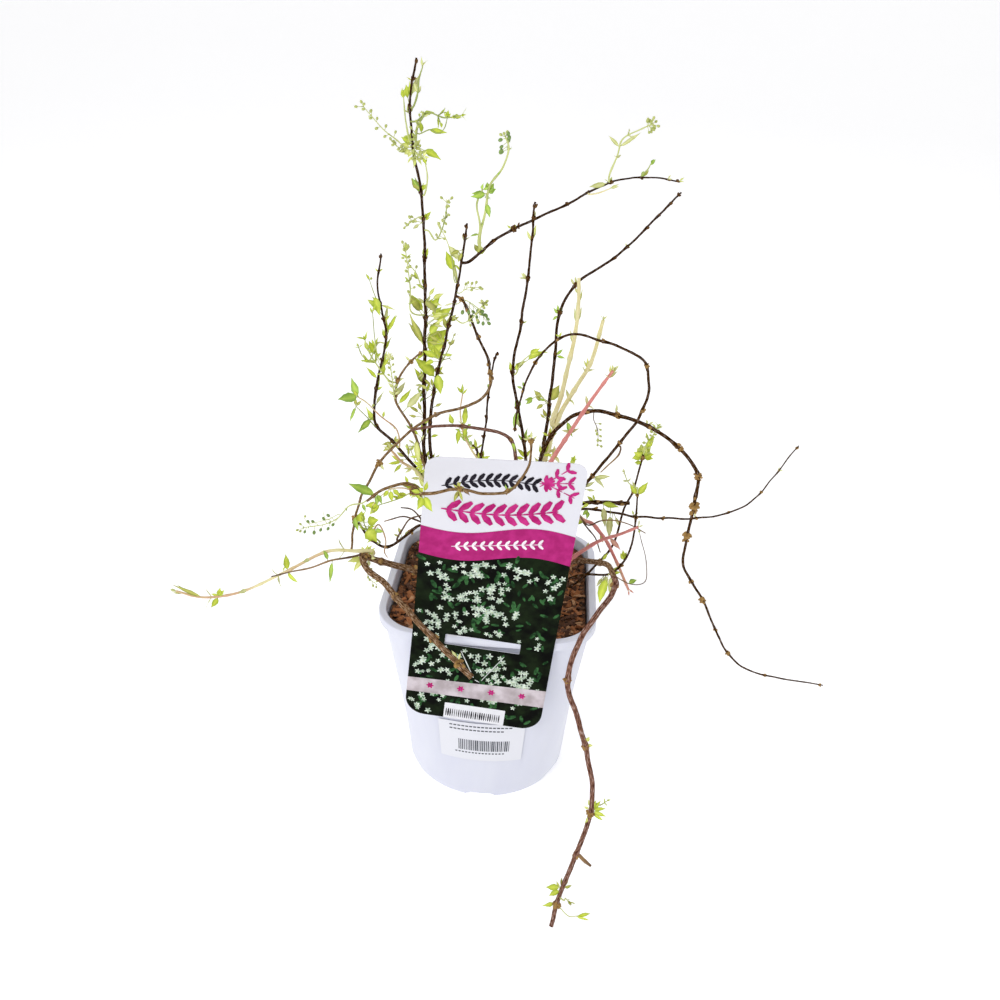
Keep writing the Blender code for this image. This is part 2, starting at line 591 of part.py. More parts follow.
class Spray:
    """One mass: a stem, then twigs, leaves and buds that branch from it by a seeded rule."""

    def __init__(self, name, limb, share, route, thick, leaf, kind, clearance):
        self.name = name
        self.clearance = clearance
        self.leaf = leaf * MM
        self.habit = HABIT[kind]
        start, heading = limb.seat(share, Vector(route[0]) * MM, thick)
        self.stem = Limb(start, heading, route, thick, thick * 0.6)
        self.pieces = []

    def stem_points(self):
        return [self.stem.at(d * 4 * MM) for d in range(int(self.stem.length / (4 * MM)) + 1)]

    def leaf_on(self, point, heading, length):
        points = [point + heading * length * step for step in (0.35, 0.6, 0.85, 1.0)]
        if not self.clearance.free(points, self.name, 0.2 * length):
            return
        self.clearance.take(points, self.name)
        base = point - heading * LEAF_SUNK
        self.pieces.append(leaf_solid(base, heading, self.rng.uniform(0, math.pi), length))

    def buds_on(self, point, heading, count):
        for index in range(count):
            turn = 2 * math.pi * index / count + self.rng.uniform(-0.4, 0.4)
            side = aligned(heading) @ Vector((math.cos(turn), math.sin(turn), self.rng.uniform(0.4, 1.2)))
            side.normalize()
            tip = point + side * self.rng.uniform(5, 9) * MM
            if not self.clearance.free([tip], self.name, BUD_LENGTH):
                continue
            self.clearance.take([tip], self.name)
            self.pieces.append(twig_solid(point - side * 0.3 * MM, tip + side * 0.6 * MM, 0.8 * MM))
            self.pieces.append(bud_solid(tip, side, BUD_LENGTH))

    def grow(self, draw):
        self.rng = random.Random(f"{self.name} {draw}")
        self.pieces = []
        self.clearance.release(self.name)
        self.clearance.take(self.stem_points(), self.name)
        stem = self.stem
        gap = self.habit["node_gap"] * MM
        nodes = max(1, int(stem.length / gap))
        turn = self.rng.uniform(0, math.pi)
        for index in range(1, nodes + 1):
            distance = min(index * gap, stem.length - 0.6 * MM)
            point, heading = stem.at(distance), stem.heading(distance)
            frame = aligned(heading, turn + index * math.pi / 2)
            for side in (1, -1):
                out = frame @ Vector((side, 0, self.rng.uniform(0.5, 1.1)))
                out.normalize()
                size = self.leaf * self.rng.uniform(0.75, 1.05)
                if self.habit["twig_every"] and index % self.habit["twig_every"] == 0:
                    self.twig_on(point, out, size)
                else:
                    self.leaf_on(point, out, size)
        tip, heading = stem.at(stem.length - TIP_OVERLAP), stem.heading(stem.length)
        if self.habit["tip_buds"]:
            self.buds_on(tip, heading, self.habit["tip_buds"])
        else:
            for tilt in (0.5, -0.5):
                out = (heading + (aligned(heading, turn) @ Vector((tilt, 0, 0)))).normalized()
                self.leaf_on(tip, out, self.leaf * 0.8)

    def twig_on(self, point, heading, size):
        tip = point + heading * size * 0.8
        if not self.clearance.free([tip], self.name, 1.5 * MM):
            return
        self.clearance.take([tip], self.name)
        self.pieces.append(twig_solid(point, tip, TWIG_THICK))
        near_tip = tip - heading * TIP_OVERLAP
        for tilt in (0.8, -0.8):
            out = (heading + (aligned(heading) @ Vector((tilt, 0.2, 0)))).normalized()
            self.leaf_on(near_tip, out, size * 0.7)

    def fuse(self, parts, material):
        """Joins the stem and everything on it into one solid, and says if its skin is sound."""
        holder = new_collection(self.name + "_pieces")
        for piece in self.pieces:
            holder.objects.link(bpy.data.objects.new("piece", piece))
        source = bpy.data.objects.new(self.name, limb_curve(self.name, self.stem, 0, knots=False))
        parts.objects.link(source)
        item = add_object(self.name, baked_mesh(source), material, parts, smooth=False)
        item.name = self.name
        if self.pieces:
            join = item.modifiers.new("join", "BOOLEAN")
            join.operation = "UNION"
            join.operand_type = "COLLECTION"
            join.collection = holder
            item.data = evaluated_mesh(item)
            item.modifiers.clear()
        for piece in list(holder.objects):
            bpy.data.objects.remove(piece, do_unlink=True)
        bpy.data.collections.remove(holder)
        sound = drop_scraps(item.data)
        item.data.materials.clear()
        item.data.materials.append(material)
        if not sound:
            bpy.data.objects.remove(item, do_unlink=True)
        return sound


def drop_scraps(mesh):
    """Keeps only the largest connected body, welded and triangulated, and says if it is sound."""
    shape = bmesh.new()
    shape.from_mesh(mesh)
    bmesh.ops.dissolve_degenerate(shape, edges=shape.edges, dist=0.004 * MM)
    bmesh.ops.remove_doubles(shape, verts=shape.verts, dist=0.004 * MM)
    seen, bodies = set(), []
    for seed in shape.faces:
        if seed in seen:
            continue
        body, edge = [], [seed]
        seen.add(seed)
        while edge:
            face = edge.pop()
            body.append(face)
            for side in face.edges:
                for other in side.link_faces:
                    if other not in seen:
                        seen.add(other)
                        edge.append(other)
        bodies.append(body)
    bodies.sort(key=len, reverse=True)
    for body in bodies[1:]:
        bmesh.ops.delete(shape, geom=body, context="FACES")
    bmesh.ops.triangulate(shape, faces=shape.faces)
    sound = is_sound(shape)
    shape.to_mesh(mesh)
    shape.free()
    return sound


def is_sound(shape):
    """Closed, no slivers, and no two faces that meet without sharing a corner."""
    if any(len(edge.link_faces) != 2 for edge in shape.edges):
        return False
    for face in shape.faces:
        longest = max(edge.calc_length() for edge in face.edges)
        if 2 * face.calc_area() / longest < SLIVER:
            return False
    tree = BVHTree.FromBMesh(shape, epsilon=SLIVER)
    shape.faces.ensure_lookup_table()
    for one, other in tree.overlap(tree):
        if one < other and not set(shape.faces[one].verts) & set(shape.faces[other].verts):
            return False
    return True


def grow_sprays(limbs, parts, green, shoot_green):
    clearance = Clearance(limbs)
    sprays = []
    for name, (parent, share, route, thick, leaf, kind) in SPRAYS.items():
        sprays.append(Spray(name, limbs[parent], share, route, thick, leaf, kind, clearance))
    for spray in sprays:
        clearance.take(spray.stem_points(), spray.name)
    for spray in sprays:
        material = shoot_green if spray.habit is HABIT["shoot"] else green
        for draw in range(DRAWS):
            spray.grow(draw)
            if spray.fuse(parts, material):
                break


# Hang card and sticker

def card_bend(x, z):
    """How far the card stands out towards -Y from its plane at the rim."""
    rise = z - POT_HEIGHT
    if rise < 0:
        return CARD_FOOT_OUT * -rise / CARD_BELOW
    share = rise / CARD_ABOVE
    return (CARD_FORWARD - CARD_TWIST * x / (CARD_WIDTH / 2)) * share ** 1.3


def rounded_outline(curve, corners):
    """A closed outline through corners (x, y, radius) with quarter-round ends, five points each."""
    points = []
    count = len(corners)
    for index, (x, y, radius) in enumerate(corners):
        here = Vector((x, y))
        before = Vector(corners[index - 1][:2]) - here
        after = Vector(corners[(index + 1) % count][:2]) - here
        a, b = before.normalized() * radius, after.normalized() * radius
        centre = here + a + b
        if radius == 0:
            points.append(here)
            continue
        for step in range(5):
            angle = math.pi / 2 * step / 4
            points.append(centre - b * math.cos(angle) - a * math.sin(angle))
    spline = curve.splines.new("POLY")
    spline.points.add(len(points) - 1)
    for point, place in zip(spline.points, points):
        point.co = (place.x, place.y, 0, 1)
    spline.use_cyclic_u = True


def build_card(parts, cutters, material):
    half = CARD_WIDTH / 2
    curve = bpy.data.curves.new("hang_card", "CURVE")
    curve.dimensions = "2D"
    curve.fill_mode = "BOTH"
    curve.extrude = CARD_THICK / 2
    rounded_outline(curve, [(-half, -CARD_BELOW, CARD_CORNER_FOOT), (half, -CARD_BELOW, CARD_CORNER_FOOT),
                            (half, CARD_ABOVE, CARD_CORNER_TOP), (-half, CARD_ABOVE, CARD_CORNER_TOP)])
    source = bpy.data.objects.new("card_source", curve)
    parts.objects.link(source)
    source.matrix_world = Matrix.Rotation(-CARD_TURN, 4, "Z")
    mesh = baked_mesh(source)

    shape = bmesh.new()
    shape.from_mesh(mesh)
    slot_low, slot_high = -SLOT_HEIGHT + GAP, GAP
    for level in (slot_low, slot_high, 30 * MM, 60 * MM, 90 * MM):
        cut_all(shape, (0, level, 0), (0, 1, 0))
    for across in (-SLOT_WIDTH / 2, 0, SLOT_WIDTH / 2):
        cut_all(shape, (across, 0, 0), (1, 0, 0))
    in_slot = [face for face in shape.faces
               if abs(face.calc_center_median().x) < SLOT_WIDTH / 2
               and slot_low < face.calc_center_median().y < slot_high]
    bmesh.ops.delete(shape, geom=in_slot, context="FACES")
    open_edges = [edge for edge in shape.edges if edge.is_boundary]
    bmesh.ops.bridge_loops(shape, edges=open_edges)
    lie = Matrix.Translation((0, -RIM_SIDE / 2 - GAP - CARD_THICK / 2, POT_HEIGHT)) @ Matrix.Rotation(
        math.pi / 2, 4, "X")
    bmesh.ops.transform(shape, verts=shape.verts, matrix=lie)
    for vertex in shape.verts:
        vertex.co.y -= card_bend(vertex.co.x, vertex.co.z)
    bmesh.ops.recalc_face_normals(shape, faces=shape.faces)
    card = add_object("hang_card", mesh_from(shape, "hang_card"), material, parts, smooth=False)

    flap = bmesh.new()
    flap_back = RIM_LEDGE + 2 * GAP
    front = -RIM_SIDE / 2 - GAP - CARD_THICK / 2
    middle = Vector((0, front + flap_back / 2, POT_HEIGHT + GAP + CARD_THICK / 2))
    bmesh.ops.create_cube(flap, size=1, matrix=Matrix.Translation(middle) @ Matrix.Diagonal(
        (SLOT_WIDTH - 2 * MM, flap_back, CARD_THICK, 1)))
    guide = bpy.data.objects.new("card_flap", mesh_from(flap, "card_flap"))
    guide.hide_render = True
    guide.display_type = "WIRE"
    cutters.objects.link(guide)
    join = card.modifiers.new("flap", "BOOLEAN")
    join.operation = "UNION"
    join.object = guide
    return card


def cut_all(shape, point, normal):
    bmesh.ops.bisect_plane(shape, geom=[*shape.verts, *shape.edges, *shape.faces],
                           plane_co=point, plane_no=normal)


def build_sticker(parts, material):
    """A paper label that follows the wall, a hair off it."""
    shape = bmesh.new()
    bmesh.ops.create_grid(shape, x_segments=12, y_segments=2, size=0.5)
    for vertex in shape.verts:
        height = STICKER_LOW + (STICKER_HIGH - STICKER_LOW) * (vertex.co.y + 0.5)
        angle = -math.pi / 2 + STICKER_WIDTH * vertex.co.x / WALL_RADIUS_THERE
        far = wall_reach(angle, height) + STICKER_CLEAR
        vertex.co = (far * math.cos(angle), far * math.sin(angle), height)
    shape.normal_update()
    inward = [face for face in shape.faces if face.normal.dot(face.calc_center_median()) < 0]
    bmesh.ops.reverse_faces(shape, faces=inward)
    sticker = add_object("pot_sticker", mesh_from(shape, "pot_sticker"), material, parts, smooth=False)
    skin = sticker.modifiers.new("thickness", "SOLIDIFY")
    skin.thickness = STICKER_THICK
    skin.offset = 1
    return sticker


clear_scene()
shrub = new_collection("deutzia_shrub")
tools = new_collection("cutters")
tools.hide_render = True

white_plastic = make_material("white_polypropylene", (0.82, 0.83, 0.88), 0.38)
brown_mix = make_material("bark_potting_mix", (0.16, 0.07, 0.03), 0.95)
bark = make_material("brown_bark", (0.09, 0.05, 0.035), 0.8)
leaf_green = make_material("young_leaf", (0.42, 0.55, 0.07), 0.5)
pale_shoot = make_material("pale_shoot", (0.62, 0.55, 0.22), 0.5)
card_plastic = make_material("printed_card", (0.85, 0.85, 0.87), 0.35)
sticker_paper = make_material("sticker_paper", (0.88, 0.88, 0.88), 0.6)

build_pot(shrub, tools, white_plastic)
build_mix(shrub, brown_mix)
build_crown(shrub, bark)
all_limbs = grow_limbs(shrub, bark)
grow_sprays(all_limbs, shrub, leaf_green, pale_shoot)
build_card(shrub, tools, card_plastic)
build_sticker(shrub, sticker_paper)
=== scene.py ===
import json
import math
import random

import bmesh
import bpy
from mathutils import Matrix, Vector, noise

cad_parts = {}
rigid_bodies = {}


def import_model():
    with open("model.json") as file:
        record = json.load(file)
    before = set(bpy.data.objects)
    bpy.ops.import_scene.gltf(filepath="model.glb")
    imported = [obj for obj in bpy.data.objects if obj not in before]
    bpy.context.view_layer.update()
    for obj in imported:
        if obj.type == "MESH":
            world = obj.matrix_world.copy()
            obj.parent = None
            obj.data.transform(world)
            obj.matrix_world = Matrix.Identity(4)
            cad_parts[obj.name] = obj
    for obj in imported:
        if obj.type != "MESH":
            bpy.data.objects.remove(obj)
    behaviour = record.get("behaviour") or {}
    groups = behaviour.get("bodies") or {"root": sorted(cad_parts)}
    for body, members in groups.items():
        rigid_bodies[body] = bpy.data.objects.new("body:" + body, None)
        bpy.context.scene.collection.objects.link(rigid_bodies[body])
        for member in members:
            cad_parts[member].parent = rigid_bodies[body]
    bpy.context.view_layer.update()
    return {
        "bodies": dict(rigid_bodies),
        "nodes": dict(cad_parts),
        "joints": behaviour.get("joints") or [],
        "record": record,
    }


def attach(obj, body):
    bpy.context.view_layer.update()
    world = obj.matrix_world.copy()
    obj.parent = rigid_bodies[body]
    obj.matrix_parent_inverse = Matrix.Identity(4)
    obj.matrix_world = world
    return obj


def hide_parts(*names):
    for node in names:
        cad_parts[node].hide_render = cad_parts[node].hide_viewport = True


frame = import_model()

MM = 0.001


# Studio. A pale floor that curves up into a cove behind, a large soft light high at the front left, a
# weaker one on the right and a white sky, under a camera that looks down at the plant from waist height.

def linear(code):
    """An sRGB hex colour as linear red, green, blue and alpha."""
    parts = [int(code[i:i + 2], 16) / 255 for i in (1, 3, 5)]
    return (*(c / 12.92 if c <= 0.04045 else ((c + 0.055) / 1.055) ** 2.4 for c in parts), 1.0)


def add_node(material, kind, inputs=None, **settings):
    """Adds a shader node, sets its properties, and sets or links its inputs."""
    node = material.node_tree.nodes.new(kind)
    for key, value in settings.items():
        setattr(node, key, value)
    for key, value in (inputs or {}).items():
        if isinstance(value, bpy.types.NodeSocket):
            material.node_tree.links.new(value, node.inputs[key])
        else:
            node.inputs[key].default_value = value
    return node


def new_material(name, colour, roughness, **sockets):
    """A Principled material with plain starting values on its own sockets."""
    material = bpy.data.materials.new(name)
    material.use_nodes = True
    shader = material.node_tree.nodes["Principled BSDF"]
    shader.inputs["Base Color"].default_value = linear(colour)
    shader.inputs["Roughness"].default_value = roughness
    for key, value in sockets.items():
        shader.inputs[key.replace("_", " ")].default_value = value
    material.diffuse_color = linear(colour)
    return material, shader


def link(material, source, shader, socket):
    material.node_tree.links.new(source, shader.inputs[socket])


def add_piece(name, mesh, material, smooth=True):
    """An object at the origin for a finished mesh."""
    piece = bpy.data.objects.new(name, mesh)
    bpy.context.scene.collection.objects.link(piece)
    mesh.materials.clear()
    mesh.materials.append(material)
    if smooth:
        mesh.shade_smooth()
    return piece


def mesh_of(shape, name):
    mesh = bpy.data.meshes.new(name)
    shape.to_mesh(mesh)
    shape.free()
    return mesh


CAMERA_PLACE = Vector((0.0330, -0.5592, 0.5093))
PITCH, YAW, ROLL = (math.radians(a) for a in (28.02, -3.04, 2.21))
camera = bpy.data.objects.new("camera", bpy.data.cameras.new("camera"))
camera.data.sensor_width = 36
camera.data.lens = 34.2
ahead = Vector((math.sin(YAW) * math.cos(PITCH), math.cos(YAW) * math.cos(PITCH), -math.sin(PITCH)))
level = Vector((math.cos(YAW), -math.sin(YAW), 0))
rise = level.cross(ahead)
side = math.cos(ROLL) * level + math.sin(ROLL) * rise
top = -math.sin(ROLL) * level + math.cos(ROLL) * rise
camera.matrix_world = Matrix.Translation(CAMERA_PLACE) @ Matrix((side, top, -ahead)).transposed().to_4x4()
bpy.context.scene.collection.objects.link(camera)
bpy.context.scene.camera = camera
bpy.context.scene.view_settings.view_transform = "Standard"

floor_paint, floor_shader = new_material("pale_studio_floor", "#F6F6F8", 0.9, Emission_Strength=0.35)
floor_shader.inputs["Emission Color"].default_value = linear("#FFFFFF")
floor_grain = add_node(floor_paint, "ShaderNodeTexNoise", {"Scale": 6.0, "Detail": 2.0})
floor_tint = add_node(floor_paint, "ShaderNodeMix", {"Factor": floor_grain.outputs["Fac"],
                                                     "A": linear("#F4F4F6"), "B": linear("#F9F9FA")},
                      data_type="RGBA")
link(floor_paint, floor_tint.outputs["Result"], floor_shader, "Base Color")
FLOOR_REACH, COVE_BEGIN, COVE_DEPTH = 12, 2, 3
shape = bmesh.new()
bmesh.ops.create_grid(shape, x_segments=2, y_segments=80, size=FLOOR_REACH)
for vertex in shape.verts:
    vertex.co.z = max(0, vertex.co.y - COVE_BEGIN) ** 2 / COVE_DEPTH
floor = add_piece("studio_floor", mesh_of(shape, "studio_floor"), floor_paint)

# Name, place, watts and width in metres
LIGHTS = (("key_light", (-1.1, -1.7, 1.5), 20, 0.7), ("fill_light", (1.6, -0.7, 1.2), 3, 1.5),
          ("back_light", (0.3, 1.6, 1.6), 4, 1.5))
MIDDLE_OF_PLANT = Vector((0, 0, 0.2))
for name, place, power, size in LIGHTS:
    lamp = bpy.data.lights.new(name, "AREA")
    lamp.energy, lamp.size = power, size
    holder = bpy.data.objects.new(name, lamp)
    holder.location = place
    holder.rotation_euler = (MIDDLE_OF_PLANT - Vector(place)).to_track_quat("-Z", "Y").to_euler()
    bpy.context.scene.collection.objects.link(holder)
sky = bpy.data.worlds.new("white_sky")
sky.use_nodes = True
sky.node_tree.nodes["Background"].inputs["Color"].default_value = (1, 1, 1, 1)
sky.node_tree.nodes["Background"].inputs["Strength"].default_value = 0.55
bpy.context.scene.world = sky


# Pot. A thin-walled nursery pot of injection-moulded white polypropylene: a rounded-square rim with a
# turned-down lip on a wall that runs down to a round foot with six shallow drain notches.

POT_HEIGHT = 150 * MM
RIM_SIDE = 144 * MM
RIM_CORNER = 31.5 * MM
RIM_LEDGE = 5 * MM
RIM_DEPTH = 6.5 * MM
FOOT_RADIUS = 57.5 * MM
WALL = 1.8 * MM
POT_FLOOR = 2.2 * MM
POT_SIDES = 168
NOTCHES = 6
NOTCH_WIDTH = 20 * MM
NOTCH_HEIGHT = 3 * MM
NOTCH_STEEPNESS = 5


def square_reach(half_side, corner, angle):
    """Distance from the middle to a rounded square's edge along an angle."""
    c, s = abs(math.cos(angle)), abs(math.sin(angle))
    flat = half_side / max(c, s)
    inner = half_side - corner
    if min(c, s) * flat <= inner:
        return flat
    along = inner * (c + s)
    return along + math.sqrt(max(along * along - 2 * inner * inner + corner * corner, 0))


def wall_reach(angle, height, inset=0.0):
    """Outer wall: a circle at the foot that grows to a rounded square under the rim."""
    rise = height / (POT_HEIGHT - RIM_DEPTH)
    overhang = RIM_LEDGE - WALL
    square = square_reach(RIM_SIDE / 2 - overhang, RIM_CORNER - overhang, angle)
    return FOOT_RADIUS + (square - FOOT_RADIUS) * rise - inset


def rim_reach(angle, inset):
    return square_reach(RIM_SIDE / 2 - inset, RIM_CORNER - inset, angle)


def notch_depth(angle):
    """Height of the drain notch in the foot at an angle, with eased shoulders."""
    nearest = round((angle + math.pi / 2) / (2 * math.pi / NOTCHES)) * 2 * math.pi / NOTCHES - math.pi / 2
    across = abs(angle - nearest) * FOOT_RADIUS / (NOTCH_WIDTH / 2)
    return NOTCH_HEIGHT * max(0.0, min(1.0, (1 - across) * NOTCH_STEEPNESS))


def roughen(material, shader, scale, strength, depth):
    """A fine, even tooth on a moulded or pressed surface."""
    place = add_node(material, "ShaderNodeTexCoord")
    tooth = add_node(material, "ShaderNodeTexNoise", {"Vector": place.outputs["Object"], "Scale": scale})
    bump = add_node(material, "ShaderNodeBump", {"Height": tooth.outputs["Fac"], "Strength": strength,
                                                 "Distance": depth})
    link(material, bump.outputs["Normal"], shader, "Normal")


# The wall's section from the middle of its floor up the inside, over the rim and down to the underside:
# a reach and a height at each angle
rim_foot = POT_HEIGHT - RIM_DEPTH
profile = [(lambda a: 0.3 * FOOT_RADIUS, lambda a: POT_FLOOR),
           (lambda a: wall_reach(a, POT_FLOOR, WALL + 2 * MM), lambda a: POT_FLOOR)]
profile += [(lambda a, h=h: wall_reach(a, h, WALL), lambda a, h=h: h)
            for h in (5 * MM, 40 * MM, 80 * MM, 120 * MM)]
profile += [(lambda a, i=i: rim_reach(a, i), lambda a, z=z: z)
            for i, z in ((RIM_LEDGE, rim_foot), (RIM_LEDGE, POT_HEIGHT - 0.8 * MM),
                         (RIM_LEDGE - 0.25 * MM, POT_HEIGHT - 0.2 * MM), (RIM_LEDGE - 0.8 * MM, POT_HEIGHT),
                         (0.9 * MM, POT_HEIGHT), (0.25 * MM, POT_HEIGHT - 0.25 * MM),
                         (0, POT_HEIGHT - 0.9 * MM),
                         (0, rim_foot + 0.5 * MM), (0.4 * MM, rim_foot), (1.5 * MM, rim_foot),
                         (1.7 * MM, rim_foot + 0.6 * MM), (RIM_LEDGE - WALL - 0.6 * MM, rim_foot + 0.6 * MM),
                         (RIM_LEDGE - WALL, rim_foot - 0.2 * MM))]
profile += [(lambda a, h=h: wall_reach(a, h), lambda a, h=h: h)
            for h in (138 * MM, 110 * MM, 80 * MM, 50 * MM, 20 * MM, 6 * MM)]
profile += [(lambda a: wall_reach(a, 2.6 * MM), lambda a: max(2.6 * MM, notch_depth(a) + 0.6 * MM)),
            (lambda a: FOOT_RADIUS - 0.4 * MM, lambda a: max(0.8 * MM, notch_depth(a) + 0.2 * MM)),
            (lambda a: FOOT_RADIUS - 1.4 * MM, lambda a: notch_depth(a)),
            (lambda a: FOOT_RADIUS - 5 * MM, lambda a: notch_depth(a)),
            (lambda a: FOOT_RADIUS - 5.4 * MM, lambda a: 0.0), (lambda a: 0.3 * FOOT_RADIUS, lambda a: 0.0)]
shape = bmesh.new()
rows = []
for reach, height in profile:
    row = []
    for step in range(POT_SIDES):
        angle = 2 * math.pi * step / POT_SIDES - math.pi
        far = reach(angle)
        row.append(shape.verts.new((far * math.cos(angle), far * math.sin(angle), height(angle))))
    rows.append(row)
for inner, outer in zip(rows, rows[1:]):
    for step in range(POT_SIDES):
        nxt = (step + 1) % POT_SIDES
        shape.faces.new((inner[step], inner[nxt], outer[nxt], outer[step]))
shape.faces.new(rows[0])
shape.faces.new(list(reversed(rows[-1])))
bmesh.ops.recalc_face_normals(shape, faces=shape.faces)

# Moulded polypropylene: a waxy white with a cool cast, faint flow marks and a soft gloss
polypropylene, shader = new_material("white_moulded_polypropylene", "#DADCE8", 0.34, IOR=1.49,
                                     Subsurface_Weight=0.12)
shader.inputs["Subsurface Radius"].default_value = (0.004, 0.004, 0.005)
place = add_node(polypropylene, "ShaderNodeTexCoord")
stretch = add_node(polypropylene, "ShaderNodeMapping", {"Vector": place.outputs["Object"],
                                                        "Scale": (60, 60, 14)})
flow = add_node(polypropylene, "ShaderNodeTexNoise", {"Vector": stretch.outputs["Vector"], "Scale": 1.0,
                                                      "Detail": 3.0})
tint = add_node(polypropylene, "ShaderNodeMix", {"Factor": flow.outputs["Fac"], "A": linear("#D2D4E3"),
                                                 "B": linear("#DFE1EB")}, data_type="RGBA")
link(polypropylene, tint.outputs["Result"], shader, "Base Color")
roughen(polypropylene, shader, 900.0, 0.06, 0.0004)
pot = add_piece("pot_shell", mesh_of(shape, "pot_shell"), polypropylene)
pot.data.set_sharp_from_angle(angle=math.radians(50))
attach(pot, "root")
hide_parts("pot")


# Potting mix. Shredded bark and coir pressed into a damp, crumbly bed, banked up at the wall:
# an uneven bed, chips that lie at all angles on it, and pale coir fibres.

MIX_LEVEL = 137 * MM
MIX_SWELL = 1.2 * MM
MIX_BANK = 4.5
CRUMB, CLOD = 3.2 * MM, 9 * MM


def mix_height(x, y):
    """Gently uneven top of the mix, higher towards the wall."""
    far = math.hypot(x, y) / (RIM_SIDE / 2)
    wave = noise.noise(Vector((x, y, 0)) / (30 * MM))
    return MIX_LEVEL + MIX_SWELL * (wave + MIX_BANK * far ** 3)


def mottle(material, shader, deep, light, scale, detail=2.0):
    """Lets a noise that is fixed in the piece blend a deep tone with a light one."""
    place = add_node(material, "ShaderNodeTexCoord")
    patch = add_node(material, "ShaderNodeTexNoise", {"Vector": place.outputs["Object"], "Scale": scale,
                                                      "Detail": detail})
    tone = add_node(material, "ShaderNodeMix", {"Factor": patch.outputs["Fac"], "A": linear(deep),
                                                "B": linear(light)}, data_type="RGBA")
    link(material, tone.outputs["Result"], shader, "Base Color")


shape = bmesh.new()
bmesh.ops.create_grid(shape, x_segments=90, y_segments=90, size=1.0)
for vertex in shape.verts:
    x, y = vertex.co.x, vertex.co.y
    ring_share = max(abs(x), abs(y))
    angle = math.atan2(y, x)
    far = ring_share * wall_reach(angle, MIX_LEVEL, WALL + 1.2 * MM)
    vertex.co.x, vertex.co.y = far * math.cos(angle), far * math.sin(angle)
    crumb = noise.noise(vertex.co / CRUMB) * 0.9 + noise.noise(vertex.co / CLOD) * 1.4
    vertex.co.z = mix_height(vertex.co.x, vertex.co.y) + (crumb - 1.6) * MM
border = [edge for edge in shape.edges if edge.is_boundary]
foot = bmesh.ops.extrude_edge_only(shape, edges=border)["geom"]
for vertex in (item for item in foot if isinstance(item, bmesh.types.BMVert)):
    angle = math.atan2(vertex.co.y, vertex.co.x)
    far = wall_reach(angle, POT_FLOOR, WALL + 1.6 * MM)
    vertex.co = (far * math.cos(angle), far * math.sin(angle), POT_FLOOR + 0.4 * MM)
bmesh.ops.contextual_create(shape, geom=[edge for edge in shape.edges if edge.is_boundary])
bmesh.ops.recalc_face_normals(shape, faces=shape.faces)

# Damp composted bark: near-black brown crumbs with rust-brown flecks, quite without gloss
damp_bark, shader = new_material("damp_composted_bark", "#3A1E12", 0.95)
place = add_node(damp_bark, "ShaderNodeTexCoord")
crumbs = add_node(damp_bark, "ShaderNodeTexVoronoi", {"Vector": place.outputs["Object"], "Scale": 420.0})
flecks = add_node(damp_bark, "ShaderNodeValToRGB", {"Fac": crumbs.outputs["Color"]})
for stop, place, code in zip(flecks.color_ramp.elements, (0.25, 0.9), ("#38210F", "#9A6238")):
    stop.position, stop.color = place, linear(code)
link(damp_bark, flecks.outputs["Color"], shader, "Base Color")
bump = add_node(damp_bark, "ShaderNodeBump", {"Height": crumbs.outputs["Distance"], "Distance": 0.002})
link(damp_bark, bump.outputs["Normal"], shader, "Normal")
bed = add_piece("potting_mix_bed", mesh_of(shape, "potting_mix_bed"), damp_bark)
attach(bed, "root")
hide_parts("potting_mix")

# Name, lighter and deeper tone, and number. Then their least and greatest length, width and thickness.
MIX_CHIPS = (("rust_bark_chips", "#BE7A4A", "#835029", 620), ("dark_bark_chips", "#6E4830", "#42291A", 560),
             ("pale_coir_chips", "#CFA27A", "#A5754C", 240))
CHIP_LONG, CHIP_WIDE, CHIP_THICK = (3.5, 9), (1.4, 3.4), (0.5, 1.3)
for name, pale, deep, count in MIX_CHIPS:
    draw = random.Random(name)
    shape = bmesh.new()
    for _ in range(count):
        angle, share = draw.uniform(-math.pi, math.pi), math.sqrt(draw.random())
        far = share * wall_reach(angle, MIX_LEVEL, WALL + 5 * MM)
        x, y = far * math.cos(angle), far * math.sin(angle)
        long, wide = draw.uniform(*CHIP_LONG) * MM, draw.uniform(*CHIP_WIDE) * MM
        lie = (Matrix.Translation((x, y, mix_height(x, y) + draw.uniform(-1.4, 0.2) * MM))
               @ Matrix.Rotation(draw.uniform(0, math.pi), 4, "Z")
               @ Matrix.Rotation(draw.gauss(0, 0.35), 4, "Y") @ Matrix.Rotation(draw.gauss(0, 0.4), 4, "X")
               @ Matrix.Diagonal((long, wide, draw.uniform(*CHIP_THICK) * MM, 1)))
        chip = bmesh.ops.create_cube(shape, size=1, matrix=lie)
        for vertex in chip["verts"]:
            vertex.co += Vector([draw.uniform(-0.5, 0.5) * MM for _ in range(3)])
    # Splintered bark and coir: dry, fibrous and matt, lighter where the splinter is fresh
    material, shader = new_material(name.replace("_chips", "_splinter"), pale, 0.9)
    mottle(material, shader, deep, pale, 700.0, 4.0)
    chips = add_piece(name, mesh_of(shape, name), material, smooth=False)
    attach(chips, "root")


# Woody crown. The knobbly foot where all the canes start, of old wood with stubs cut back in
# earlier years, half sunk in the mix.

CROWN_CENTRE = Vector((-3 * MM, 4 * MM, 0))
CROWN_RADIUS = 28 * MM
CROWN_TOP = 146 * MM
CROWN_FLAT = 0.62                 # of its radius, where its top is cut level

